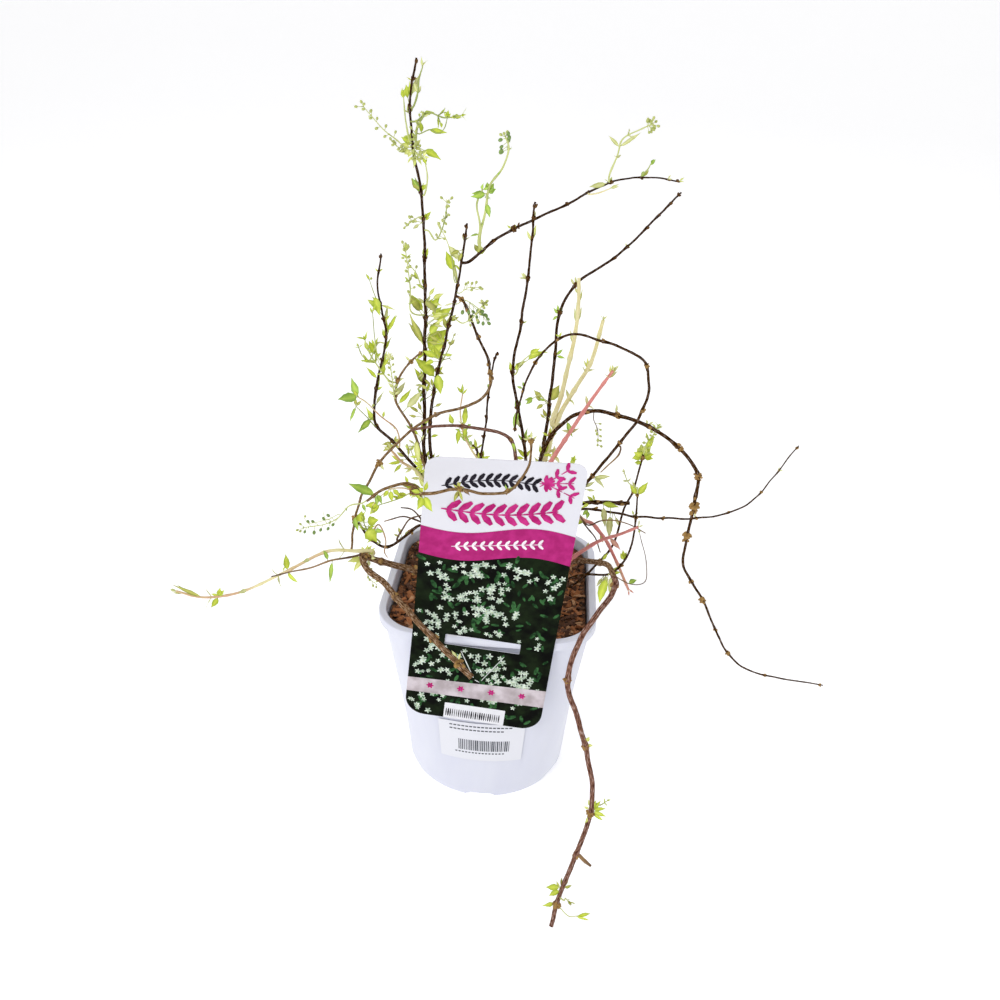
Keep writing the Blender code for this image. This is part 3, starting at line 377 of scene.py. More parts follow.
shape = bmesh.new()
bmesh.ops.create_icosphere(shape, subdivisions=5, radius=1.0)
for vertex in shape.verts:
    way = vertex.co.copy()
    lump = 1 + 0.12 * noise.noise(way * 3.1) + 0.05 * noise.noise(way * 9)
    flat = max(min(way.z, CROWN_FLAT), -0.8)
    above = (flat + 0.1 * noise.noise(way * 6)) / CROWN_FLAT * (CROWN_TOP - MIX_LEVEL)
    vertex.co = (CROWN_CENTRE.x + way.x * CROWN_RADIUS * lump, CROWN_CENTRE.y + way.y * CROWN_RADIUS * lump,
                 MIX_LEVEL - 0.4 * MM + above)

# Old deutzia wood: grey-brown, flaking in long shreds, rough
old_wood, shader = new_material("old_crown_wood", "#5B4030", 0.9)
place = add_node(old_wood, "ShaderNodeTexCoord")
shreds = add_node(old_wood, "ShaderNodeTexNoise", {"Vector": place.outputs["Object"], "Scale": 260.0,
                                                   "Detail": 6.0})
tone = add_node(old_wood, "ShaderNodeValToRGB", {"Fac": shreds.outputs["Fac"]})
for stop, place, code in zip(tone.color_ramp.elements, (0.35, 0.7), ("#2A1A12", "#85644A")):
    stop.position, stop.color = place, linear(code)
link(old_wood, tone.outputs["Color"], shader, "Base Color")
bump = add_node(old_wood, "ShaderNodeBump", {"Height": shreds.outputs["Fac"], "Distance": 0.001})
link(old_wood, bump.outputs["Normal"], shader, "Normal")
crown = add_piece("woody_crown_stump", mesh_of(shape, "woody_crown_stump"), old_wood)
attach(crown, "root")
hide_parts("woody_crown")


# Canes. Wiry, once-branched deutzia stems, tapering and a little zigzag, with opposite buds at each
# knot. Each springs from the crown, or from another cane, and a knot is a swelling with two bud scales.

# Foot on the crown or the mix, route and end thicknesses in millimetres
CROWN_CANES = {
    "tall_cane": ((-13, 11), [(-30, 10, 182), (-47, 9, 222), (-49, 12, 275), (-49, 17, 340), (-51, 22, 394),
        (-58, 26, 434), (-59, 27, 451), (-55, 28, 476)], 3.1, 1.2),
    "leaning_cane": ((-8, 3), [(-24, 3, 182), (-43, 2, 239), (-42, -1, 281), (-33, -5, 325), (-26, -9, 357),
        (-21, -13, 394)], 2.9, 1.2),
    "left_upright": ((-16, 18), [(-36, 19, 184), (-52, 20, 215), (-73, 25, 238), (-85, 28, 249),
        (-84, 31, 274), (-78, 36, 309), (-83, 40, 338), (-81, 42, 361)], 2.7, 1.1),
    "bowed_cane": ((-16, -1), [(-33, -3, 186), (-47, -4, 235), (-54, -6, 261), (-64, -8, 281), (-63, -8, 295),
        (-54, -6, 308), (-48, -3, 313)], 2.5, 1.2),
    "left_loop": ((-23, 8), [(-36, 5, 172), (-50, 2, 187), (-61, 0, 178), (-74, -2, 170), (-85, -4, 178),
        (-91, -8, 191)], 2.5, 1.6),
    "centre_upright": ((1, -4), [(14, -8, 202), (19, -10, 249), (15, -13, 274), (9, -19, 307), (13, -25, 343),
        (16, -31, 373), (18, -38, 412)], 2.7, 1.2),
    "right_arch": ((9, 8), [(20, 14, 192), (29, 20, 235), (32, 26, 272), (34, 32, 306), (35, 38, 330),
        (45, 44, 348), (69, 54, 364), (86, 62, 380), (107, 72, 402)], 2.9, 1.2),
    "right_loop_rise": ((9, -10), [(30, -10, 182), (58, -14, 233), (73, -22, 262), (86, -29, 288),
        (90, -34, 308), (87, -38, 322)], 2.4, 1.6),
    "drooping_cane_arch": ((8, -1), [(18, 3, 192), (29, 2, 244), (35, -2, 262), (46, -6, 276), (58, -10, 283),
        (75, -17, 284), (95, -24, 280), (113, -30, 270), (125, -34, 255), (125, -37, 238)], 2.9, 2.1),
    "stub_cane": ((17, 3), [(30, 4, 186), (57, 2, 211), (73, 6, 211), (90, 10, 210)], 2.9, 2.5),
    "far_right_cane": ((16, 12), [(34, 18, 178), (58, 22, 196), (98, 34, 187), (143, 48, 181), (170, 56, 185),
        (183, 60, 192), (212, 74, 231)], 2.1, 0.9),
    "crooked_twig": ((-3, 14), [(-12, 20, 190), (-12, 22, 232), (-9, 24, 262), (-6, 27, 298), (-3, 28, 305)],
        2.0, 1.1),
    "low_right_cane": ((16, -12), [(40, -17, 158), (62, -16, 167), (80, -20, 172), (90, -22, 190),
        (92, -23, 218), (91, -23, 235)], 1.9, 1.1),
    "front_hanger_rise": ((1, -15), [(28, -24, 163), (55, -15, 176), (67, -34, 189), (75, -54, 199),
        (78, -70, 200)], 3.8, 3.5),
    "cut_cane_rise": ((-12, -11), [(-32, -9, 153), (-51, -8, 156), (-66, -13, 163), (-83, -22, 173)], 4.8,
        4.2),
    "rear_left_cane": ((-8, 21), [(-14, 52, 187), (-20, 95, 200), (-28, 138, 186)], 3.0, 1.4),
    "rear_right_cane": ((6, 18), [(23, 56, 184), (38, 100, 182), (48, 146, 162)], 3.0, 1.4),
    "rear_droop_cane": ((-1, 24), [(10, 60, 176), (15, 108, 168), (18, 146, 126)], 2.8, 1.4),
    "rear_low_cane": ((-14, 26), [(-30, 62, 172), (-48, 104, 162), (-56, 136, 122)], 2.8, 1.4),
}
# The sucker springs from the mix, away from the crown
SUCKER = ((54, 8), [(61, 9, 146), (72, 10, 160), (82, 11, 175), (88, 13, 206), (92, 13, 217), (96, 13, 245)],
          1.7, 1.3)

# Canes that leave another: parent, share of its length (1 is its tip), route and end thicknesses
SIDE_CANES = {
    "long_right_branch": ("leaning_cane", 0.91, [(-8, -1, 381), (5, 8, 388), (34, 24, 400), (61, 38, 412),
        (81, 48, 414), (104, 58, 411)], 1.8, 0.9),
    "left_hoop_top": ("leaning_cane", 0.83, [(-15, -15, 334), (-6, -22, 317), (-4, -25, 309)], 1.6, 1.5),
    "left_hoop_fall": ("left_hoop_top", 1, [(-5, -27, 299), (-16, -24, 288), (-37, -20, 279), (-60, -15, 258),
        (-76, -10, 237), (-93, -1, 199), (-100, 4, 162)], 1.8, 1.6),
    "left_arc": ("bowed_cane", 0.43, [(-56, -10, 224), (-69, -12, 222), (-84, -14, 212)], 2.4, 1.7),
    "right_loop_fall": ("right_loop_rise", 1, [(82, -40, 330), (61, -40, 338), (40, -38, 340), (22, -34, 320),
        (14, -32, 292), (12, -30, 275)], 1.6, 1.1),
    "drooping_cane_fall": ("drooping_cane_arch", 1, [(123, -39, 215), (123, -41, 195), (138, -43, 171),
        (159, -44, 132), (175, -44, 119), (226, -42, 109)], 1.9, 0.9),
    "front_hanger_fall": ("front_hanger_rise", 1, [(76, -83, 196), (67, -96, 190), (59, -105, 178),
        (53, -114, 155), (60, -124, 137), (69, -136, 112), (72, -146, 87), (65, -158, 62), (57, -168, 40),
        (53, -178, 22)], 3.5, 2.7),
    "cut_cane_reach": ("cut_cane_rise", 1, [(-81, -34, 172), (-69, -46, 171), (-54, -66, 170),
        (-40, -84, 168), (-25, -96, 161), (-4, -108, 148)], 4.2, 3.8),
    "card_twig_rise": ("bowed_cane", 0.36, [(-47, -40, 236), (-43, -84, 258), (-39, -103, 267)], 2.0, 1.8),
    "card_twig_cross": ("card_twig_rise", 1, [(-30, -112, 272), (-12, -112, 276), (0, -110, 273),
        (13, -107, 274), (23, -104, 287), (24, -101, 303)], 1.9, 1.3),
    "reddish_arch": ("centre_upright", 0.37, [(9, -13, 262), (-13, -19, 271), (-34, -28, 275),
        (-51, -31, 272)], 2.5, 1.6),
}
SEAT_RUN = 4 * MM                 # straight run where a cane leaves its seat
PATH_STEP, TUBE_STEP = 2 * MM, 1.6 * MM
KNOT_REACH = 1.7 * MM
KNOT_SWELL = 0.38
WANDER_RUN = 13 * MM              # length of a bend in the zigzag


def smooth_route(points, step):
    """Points about one step apart along a centripetal curve through the route."""
    ends = [points[0] * 2 - points[1], *points, points[-1] * 2 - points[-2]]
    path = []
    for p0, p1, p2, p3 in zip(ends, ends[1:], ends[2:], ends[3:]):
        t1 = math.sqrt((p1 - p0).length)
        t2 = t1 + math.sqrt((p2 - p1).length)
        t3 = t2 + math.sqrt((p3 - p2).length)
        count = max(2, math.ceil((p2 - p1).length / step))
        for index in range(count):
            t = t1 + (t2 - t1) * index / count
            share = (t - t1) / (t2 - t1)
            a1, a2, a3 = p0.lerp(p1, t / t1), p1.lerp(p2, share), p2.lerp(p3, (t - t2) / (t3 - t2))
            path.append(a1.lerp(a2, t / t2).lerp(a2.lerp(a3, (t - t1) / (t3 - t1)), share))
    path.append(points[-1].copy())
    return path


class Stem:
    """A tapering stem: its finely sampled path, the distances along it, and its thickness."""

    def __init__(self, start, heading, route, thick, thin, run=SEAT_RUN):
        points = [start, start + heading * run, *(Vector(p) * MM for p in route)]
        self.path = smooth_route(points, PATH_STEP)
        self.along = [0.0]
        for a, b in zip(self.path, self.path[1:]):
            self.along.append(self.along[-1] + (b - a).length)
        self.length = self.along[-1]
        self.thick, self.thin = thick * MM, thin * MM

    def at(self, distance):
        for index, end in enumerate(self.along[1:]):
            if distance <= end:
                begin = self.along[index]
                return self.path[index].lerp(self.path[index + 1], (distance - begin) / (end - begin))
        return self.path[-1].copy()

    def heading(self, distance):
        low, high = max(distance - 1.5 * MM, 0), min(distance + 1.5 * MM, self.length)
        return (self.at(high) - self.at(low)).normalized()

    def radius(self, distance):
        return (self.thick + (self.thin - self.thick) * distance / self.length) / 2

    def seat(self, share, towards):
        """Where a side stem starts and its first heading: off the tip, or square off the side."""
        distance = min(share, 1) * self.length
        point, heading = self.at(distance), self.heading(distance)
        if share >= 1:
            return point - heading * 0.5 * MM, heading
        out = towards - point
        out = (out - heading * out.dot(heading)).normalized()
        return point + out * self.radius(distance) * 0.6, out


# Knots that sit unevenly: millimetres from the cane's seat. The other canes' knots are evenly spread.
KNOTS = {
    "tall_cane": (36, 64, 98, 123, 150, 171, 192, 212, 229, 252, 267, 293, 315, 330),
    "leaning_cane": (30, 66, 98, 127, 149, 164, 181, 195, 211, 222, 240, 252),
    "left_upright": (34, 72, 111, 126, 152, 173, 188, 200, 210, 231),
    "bowed_cane": (40, 84, 125, 149, 160, 175), "left_hoop_fall": (2, 50, 107, 161),
    "left_loop": (30, 61, 82, 93), "left_arc": (18, 42),
    "centre_upright": (40, 82, 118, 143, 168, 202, 230, 254, 265),
    "right_arch": (52, 104, 130, 164, 190, 211, 241, 252, 269, 280, 290),
    "long_right_branch": (23, 38, 75, 90, 106, 127, 146), "right_loop_rise": (48, 111, 144, 172),
    "right_loop_fall": (3, 33, 60, 80, 100), "drooping_cane_arch": (60, 120, 152, 172, 193, 213, 235, 250),
    "drooping_cane_fall": (23, 56, 73, 96, 117, 149),
    "far_right_cane": (40, 81, 112, 134, 160, 185, 213, 233), "sucker_cane": (39, 92, 118),
    "low_right_cane": (40, 83, 121), "front_hanger_rise": (48, 104),
    "front_hanger_fall": (6, 74, 114, 155, 182, 214), "cut_cane_reach": (2, 52, 95, 120),
    "card_twig_cross": (33, 59, 91), "reddish_arch": (23, 56),
}

stems = {}
for name, (foot, route, thick, thin) in CROWN_CANES.items():
    start = Vector((foot[0] * MM, foot[1] * MM, CROWN_TOP - 2 * MM))
    stems[name] = Stem(start, Vector((0, 0, 1)), route, thick, thin)
start = Vector((SUCKER[0][0] * MM, SUCKER[0][1] * MM, mix_height(54 * MM, 8 * MM) - 3 * MM))
stems["sucker_cane"] = Stem(start, Vector((0, 0, 1)), *SUCKER[1:])
for name, (parent, share, route, thick, thin) in SIDE_CANES.items():
    stems[name] = Stem(*stems[parent].seat(share, Vector(route[0]) * MM), route, thick, thin)


def knot_places(stem, gap, first=0.6):
    """Distances of the knots along a stem, evenly spread about one gap apart."""
    count = max(1, round(stem.length / gap))
    return [stem.length * (index + first) / count for index in range(count)]


noise.seed_set(7)                 # noise_vector starts from the clock otherwise


def stem_tube(name, stem, sides, knots, swell, relief, zigzag=0.0):
    """A round tube along a stem with swollen knots and lengthwise relief, unwrapped in metres."""
    draw = random.Random(name)
    curve = bpy.data.curves.new(name, "CURVE")
    curve.dimensions = "3D"
    curve.bevel_depth = 1.0
    curve.bevel_resolution = max(0, sides // 2 - 2)
    curve.use_fill_caps = True
    count = max(3, math.ceil(stem.length / TUBE_STEP))
    spline = curve.splines.new("POLY")
    spline.points.add(count)
    offset = Vector([draw.uniform(-9, 9) for _ in range(3)])
    for index, point in enumerate(spline.points):
        distance = stem.length * index / count
        bulge = max((math.exp(-((distance - knot) / KNOT_REACH) ** 2) for knot in knots), default=0.0)
        wander = noise.noise_vector(offset + Vector((distance / WANDER_RUN, 0, 0))) * zigzag
        point.co = (*(stem.at(distance) + wander * min(1, distance / (20 * MM))), 1)
        point.radius = stem.radius(distance) * (1 + swell * bulge)
    source = bpy.data.objects.new(name, curve)
    bpy.context.scene.collection.objects.link(source)
    bpy.context.view_layer.update()
    mesh = bpy.data.meshes.new_from_object(source.evaluated_get(bpy.context.evaluated_depsgraph_get()))
    bpy.data.objects.remove(source)
    if relief:
        for vertex in mesh.vertices:
            grain = sum(noise.noise(vertex.co / run + offset) for run in (1.1 * MM, 3.5 * MM))
            vertex.co += vertex.normal * grain * relief
    for corner in mesh.uv_layers[0].data:
        corner.uv.x *= stem.length / (10 * MM)
    return mesh


def join_meshes(name, meshes):
    shape = bmesh.new()
    for mesh in meshes:
        shape.from_mesh(mesh)
        bpy.data.meshes.remove(mesh)
    return mesh_of(shape, name)


def aligned(heading, roll=0.0):
    """A turn that takes +Z to a heading, spun about it by a roll."""
    return heading.to_track_quat("Z", "Y").to_matrix().to_4x4() @ Matrix.Rotation(roll, 4, "Z")


def bud_scales(shape, stem, distance, roll, size, draw, lean=(0.2, 0.5)):
    """Two pointed bud scales that clasp the stem at a knot, one on each side."""
    point, frame = stem.at(distance), aligned(stem.heading(distance), roll)
    for turned in (0, math.pi):
        tilt = frame @ Matrix.Rotation(turned, 4, "Z") @ Matrix.Rotation(draw.uniform(*lean), 4, "Y")
        out = (frame @ Matrix.Rotation(turned, 4, "Z")).to_3x3() @ Vector((1, 0, 0))
        long = size * draw.uniform(0.8, 1.25)
        place = (Matrix.Translation(point + out * stem.radius(distance) * 0.8) @ tilt
                 @ Matrix.Translation((0, 0, long * 0.42))
                 @ Matrix.Diagonal((long * 0.34, long * 0.42, long * 0.62, 1)))
        scale = bmesh.ops.create_uvsphere(shape, u_segments=7, v_segments=5, radius=1.0, matrix=place)
        for vertex in scale["verts"]:
            vertex.co += noise.noise_vector(vertex.co / (1.2 * MM)) * 0.3 * MM


# Bark tones by age: dark brown on the upright canes, tan-brown and olive on last year's bent ones,
# grey-brown with a bloom on the two thick ones over the rim, and red-brown on the hanging end. Each row
# has the finish, its deep, middle and pale tone, the gap between even knots in millimetres, and the canes.
# The pale tone sits on the raised ridges of the strips: partly the bark's tan streaks, partly a painted
# sheen.
BARK_GROUPS = {
    "dark_barked_canes": ("dark_brown_bark", "#080301", "#4A2A08", "#B08238", 14, (
        "tall_cane", "leaning_cane", "left_upright", "centre_upright", "right_arch", "long_right_branch",
        "crooked_twig", "rear_left_cane", "rear_right_cane")),
    "brown_barked_canes": ("tan_brown_bark", "#100702", "#553410", "#BC904A", 17, (
        "left_loop", "left_hoop_top", "right_loop_rise", "right_loop_fall", "drooping_cane_arch",
        "drooping_cane_fall", "far_right_cane", "stub_cane", "sucker_cane", "rear_droop_cane",
        "rear_low_cane", "low_right_cane")),
    "pale_barked_canes": ("olive_brown_bark", "#503722", "#9A7A50", "#DAC398", 18, (
        "bowed_cane", "left_arc", "left_hoop_fall", "card_twig_rise", "card_twig_cross")),
    "grey_barked_canes": ("grey_brown_bark", "#4A3220", "#977656", "#D9BF9C", 26, (
        "front_hanger_rise", "cut_cane_rise", "cut_cane_reach")),
    "red_barked_canes": ("red_brown_bark", "#4E3027", "#936B5A", "#CDB1A0", 24, (
        "front_hanger_fall", "reddish_arch")),
}
stem_knots = {}
for group, (finish, deep, middle, pale, gap, members) in BARK_GROUPS.items():
    tubes = []
    for name in members:
        stem_knots[name] = [knot * MM for knot in KNOTS.get(name, ())] or knot_places(stems[name], gap * MM)
        tubes.append(stem_tube(name, stems[name], 12, stem_knots[name], KNOT_SWELL, 0.1 * MM,
                               zigzag=0.7 * MM))
    mesh = join_meshes(group, tubes)
    # Deutzia bark: thin, dull, split lengthwise into fine strips, with a painted sheen on the ridges: the
    # pale tone there is partly the bark's own tan and partly a painted highlight
    bark, shader = new_material(finish, pale, 0.8, Specular_IOR_Level=0.0)
    wrap = add_node(bark, "ShaderNodeUVMap", uv_map="UVMap")
    stretch = add_node(bark, "ShaderNodeMapping", {"Vector": wrap.outputs["UV"], "Scale": (1.4, 7.0, 1.0)})
    strips = add_node(bark, "ShaderNodeTexNoise", {"Vector": stretch.outputs["Vector"], "Scale": 2.4,
                                                   "Detail": 6.0})
    tone = add_node(bark, "ShaderNodeValToRGB", {"Fac": strips.outputs["Fac"]})
    # The pale stop falls where the strips rise, so it paints a sheen on the ridges over the tan bark.
    stops = (*tone.color_ramp.elements, tone.color_ramp.elements.new(0.5))
    for stop, place, code in zip(stops, (0.4, 0.72, 0.56), (deep, pale, middle)):
        stop.position, stop.color = place, linear(code)
    link(bark, tone.outputs["Color"], shader, "Base Color")
    bump = add_node(bark, "ShaderNodeBump", {"Height": strips.outputs["Fac"], "Strength": 0.7,
                                             "Distance": 0.0006})
    link(bark, bump.outputs["Normal"], shader, "Normal")
    piece = add_piece(group, mesh, bark)
    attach(piece, "root")
    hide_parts(*members)


# Knots. Where two buds sat opposite each other the cane is swollen and keeps two papery scales, dark on
# the upright canes and straw-tan on the bent ones.

# Burrs of many dry scales on old knots: millimetres along the cane, and length of a scale
BURRS = {
    "drooping_cane_fall": ((3, 3.6), (23, 3.3), (72, 2.2), (117, 1.6)),
    "drooping_cane_arch": ((237, 2.4), (216, 1.9), (172, 1.8)),
    "long_right_branch": ((38, 2.4), (75, 1.2), (106, 1.4)), "left_hoop_top": ((4, 1.6), (50, 1.8)),
    "left_hoop_fall": ((107, 2.6), (161, 2.6)), "cut_cane_reach": ((2, 3.0), (118, 3.0), (52, 1.6)),
    "front_hanger_fall": ((74, 2.0), (114, 1.8), (155, 2.4), (214, 2.4)),
    "card_twig_cross": ((33, 1.7), (91, 1.9), (59, 1.2)), "right_arch": ((191, 1.8), (211, 1.6)),
    "right_loop_fall": ((3, 1.4),), "right_loop_rise": ((172, 1.5), (144, 1.5)),
    "sucker_cane": ((92, 1.6), (118, 1.8)), "bowed_cane": ((175, 1.5), (160, 1.4)),
    "centre_upright": ((265, 1.3), (230, 1.2)),
}
KNOT_SCALES = {"dark_knot_scales": ("dark_barked_canes",),
               "tan_knot_scales": ("brown_barked_canes", "pale_barked_canes", "grey_barked_canes",
                                   "red_barked_canes")}
BURR_SCALES = 13
GOLDEN_TURN = 2.4                 # radians between neighbours in a rosette
SCALE_TONES = {"dark_knot_scales": ("#2A170B", "#86613A"), "tan_knot_scales": ("#5E421F", "#CBA468")}
for piece_name, groups in KNOT_SCALES.items():
    meshes = []
    for name in (member for group in groups for member in BARK_GROUPS[group][5]):
        shape = bmesh.new()
        draw = random.Random(name + " knots")
        for index, distance in enumerate(stem_knots[name]):
            size = 1.0 * MM + stems[name].radius(distance) * 1.1
            roll = index * math.pi / 2 + draw.uniform(-0.4, 0.4)
            bud_scales(shape, stems[name], distance, roll, size, draw)
        for distance, size in BURRS.get(name, ()):
            for index in range(BURR_SCALES):
                bud_scales(shape, stems[name], (distance + draw.gauss(0, size * 0.4)) * MM,
                           GOLDEN_TURN * index, size * 0.72 * MM, draw, (0.4, 1.4))
        if stems[name].thin < 1.4 * MM:
            bud_scales(shape, stems[name], stems[name].length - 2.6 * MM, draw.uniform(0, 3), 1.7 * MM, draw)
        meshes.append(mesh_of(shape, name))
    # Dry bud scales: papery and matt, mottled from chestnut to straw
    deep, light = SCALE_TONES[piece_name]
    dry_scale, shader = new_material(piece_name.replace("_knot_scales", "_papery_scale"), light, 0.85,
                                     Specular_IOR_Level=0.0)
    mottle(dry_scale, shader, deep, light, 420.0, 4.0)
    scales = add_piece(piece_name, join_meshes(piece_name, meshes), dry_scale)
    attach(scales, "root")


# Sprays. The young growth of the year: pale stems from the knots, with leaves in opposite pairs, each
# pair at right angles to the last, and panicles of round flower buds on hair-thin stalks at some tips.

# Parent, share of its length, route of the stem, its thickness, leaf length, habit and leaf tint
SPRAYS = {
    "crown_spray_left": ("tall_cane", 0.86, [(-66, 23, 432), (-73, 22, 437), (-80, 19, 445), (-84, 17, 450)],
        0.8, 3, "budded", "yellow"),
    "crown_spray_right": ("tall_cane", 0.9, [(-48, 22, 448), (-38, 18, 446), (-28, 14, 448)], 1.1, 9, "leafy",
        "lime"),
    "upper_spray": ("tall_cane", 0.72, [(-42, 12, 378), (-36, 6, 390), (-34, 2, 402)], 1.0, 5, "budded",
        "pale"),
    "middle_spray": ("tall_cane", 0.57, [(-57, 10, 334), (-57, 9, 348), (-59, 5, 373)], 1.0, 6, "budded",
        "lime"),
    "heart_spray": ("tall_cane", 0.47, [(-40, 4, 300), (-34, 6, 310), (-30, 8, 320)], 1.1, 8, "leafy",
        "olive"),
    "stalk_spray": ("long_right_branch", 0.1, [(-11, -5, 400), (-9, -6, 414), (-2, -6, 424), (1, -6, 435),
        (-1, -6, 440)], 1.7, 4, "budded", "green"),
    "branch_spray": ("long_right_branch", 0.68, [(63, 34, 428), (65, 33, 437), (75, 32, 443), (81, 32, 446)],
        1.2, 5, "budded", "pale"),
    "hanging_buds": ("leaning_cane", 0.78, [(-22, -14, 336), (-14, -17, 343), (-10, -20, 350)], 0.8, 6,
        "budded", "pale"),
    "left_upright_spray": ("left_upright", 0.76, [(-89, 32, 292), (-93, 31, 296), (-95, 30, 302)], 1.1, 6,
        "leafy", "lime"),
    "bowed_spray": ("bowed_cane", 0.86, [(-72, -12, 302), (-78, -16, 314), (-80, -20, 324)], 1.1, 10, "leafy",
        "lime"),
    "left_leaf_mass": ("left_loop", 0.8, [(-84, -10, 186), (-86, -14, 194), (-86, -17, 202)], 1.1, 8, "leafy",
        "lime"),
    "left_bud_stalk": ("left_arc", 1, [(-95, -15, 208), (-103, -17, 199), (-111, -19, 195), (-125, -20, 192)],
        1.0, 3, "budded", "green"),
    "pale_shoot_left": ("cut_cane_rise", 0.97, [(-90, -26, 180), (-107, -30, 181), (-135, -37, 167),
        (-166, -43, 152), (-190, -47, 149), (-206, -49, 154)], 2.4, 9, "shoot", "pale"),
    "pale_shoot_tall": ("drooping_cane_arch", 0.3, [(38, 9, 268), (48, 5, 292), (56, 0, 311), (61, -6, 340)],
        3.8, 8, "shoot", "pale"),
    "pink_shoot_side": ("drooping_cane_arch", 0.36, [(40, -10, 256), (47, -17, 273), (57, -23, 295),
        (68, -29, 317)], 3.3, 8, "pink", "pale"),
    "yellow_cluster": ("sucker_cane", 1, [(98, 14, 254), (101, 14, 259), (103, 14, 265)], 1.2, 7, "leafy",
        "lime"),
    "right_leaf_mass": ("low_right_cane", 1, [(90, -26, 240), (84, -32, 246), (80, -38, 256)], 0.9, 4,
        "leafy", "pale"),
    "hanger_spray": ("front_hanger_fall", 0.66, [(77, -142, 86), (81, -143, 91)], 0.9, 5, "leafy", "lime"),
    "hanger_tip_spray": ("front_hanger_fall", 0.92, [(60, -172, 40), (62, -174, 40)], 1.0, 7, "leafy",
        "olive"),
    "rear_left_spray": ("rear_left_cane", 1, [(-34, 150, 186), (-38, 158, 194)], 1.3, 13, "leafy", "green"),
    "rear_right_spray": ("rear_right_cane", 1, [(52, 158, 158), (54, 162, 164)], 1.3, 13, "leafy", "lime"),
    "rear_low_spray": ("rear_droop_cane", 1, [(20, 154, 116), (20, 157, 104)], 1.3, 13, "leafy", "green"),
}
HABIT = {
    "leafy": dict(node_gap=10, tip_buds=0, tone="green"),
    "budded": dict(node_gap=15, tip_buds=3, tone="green"),
    "shoot": dict(node_gap=24, tip_buds=0, tone="pale"),
    "pink": dict(node_gap=24, tip_buds=0, tone="pink"),
}

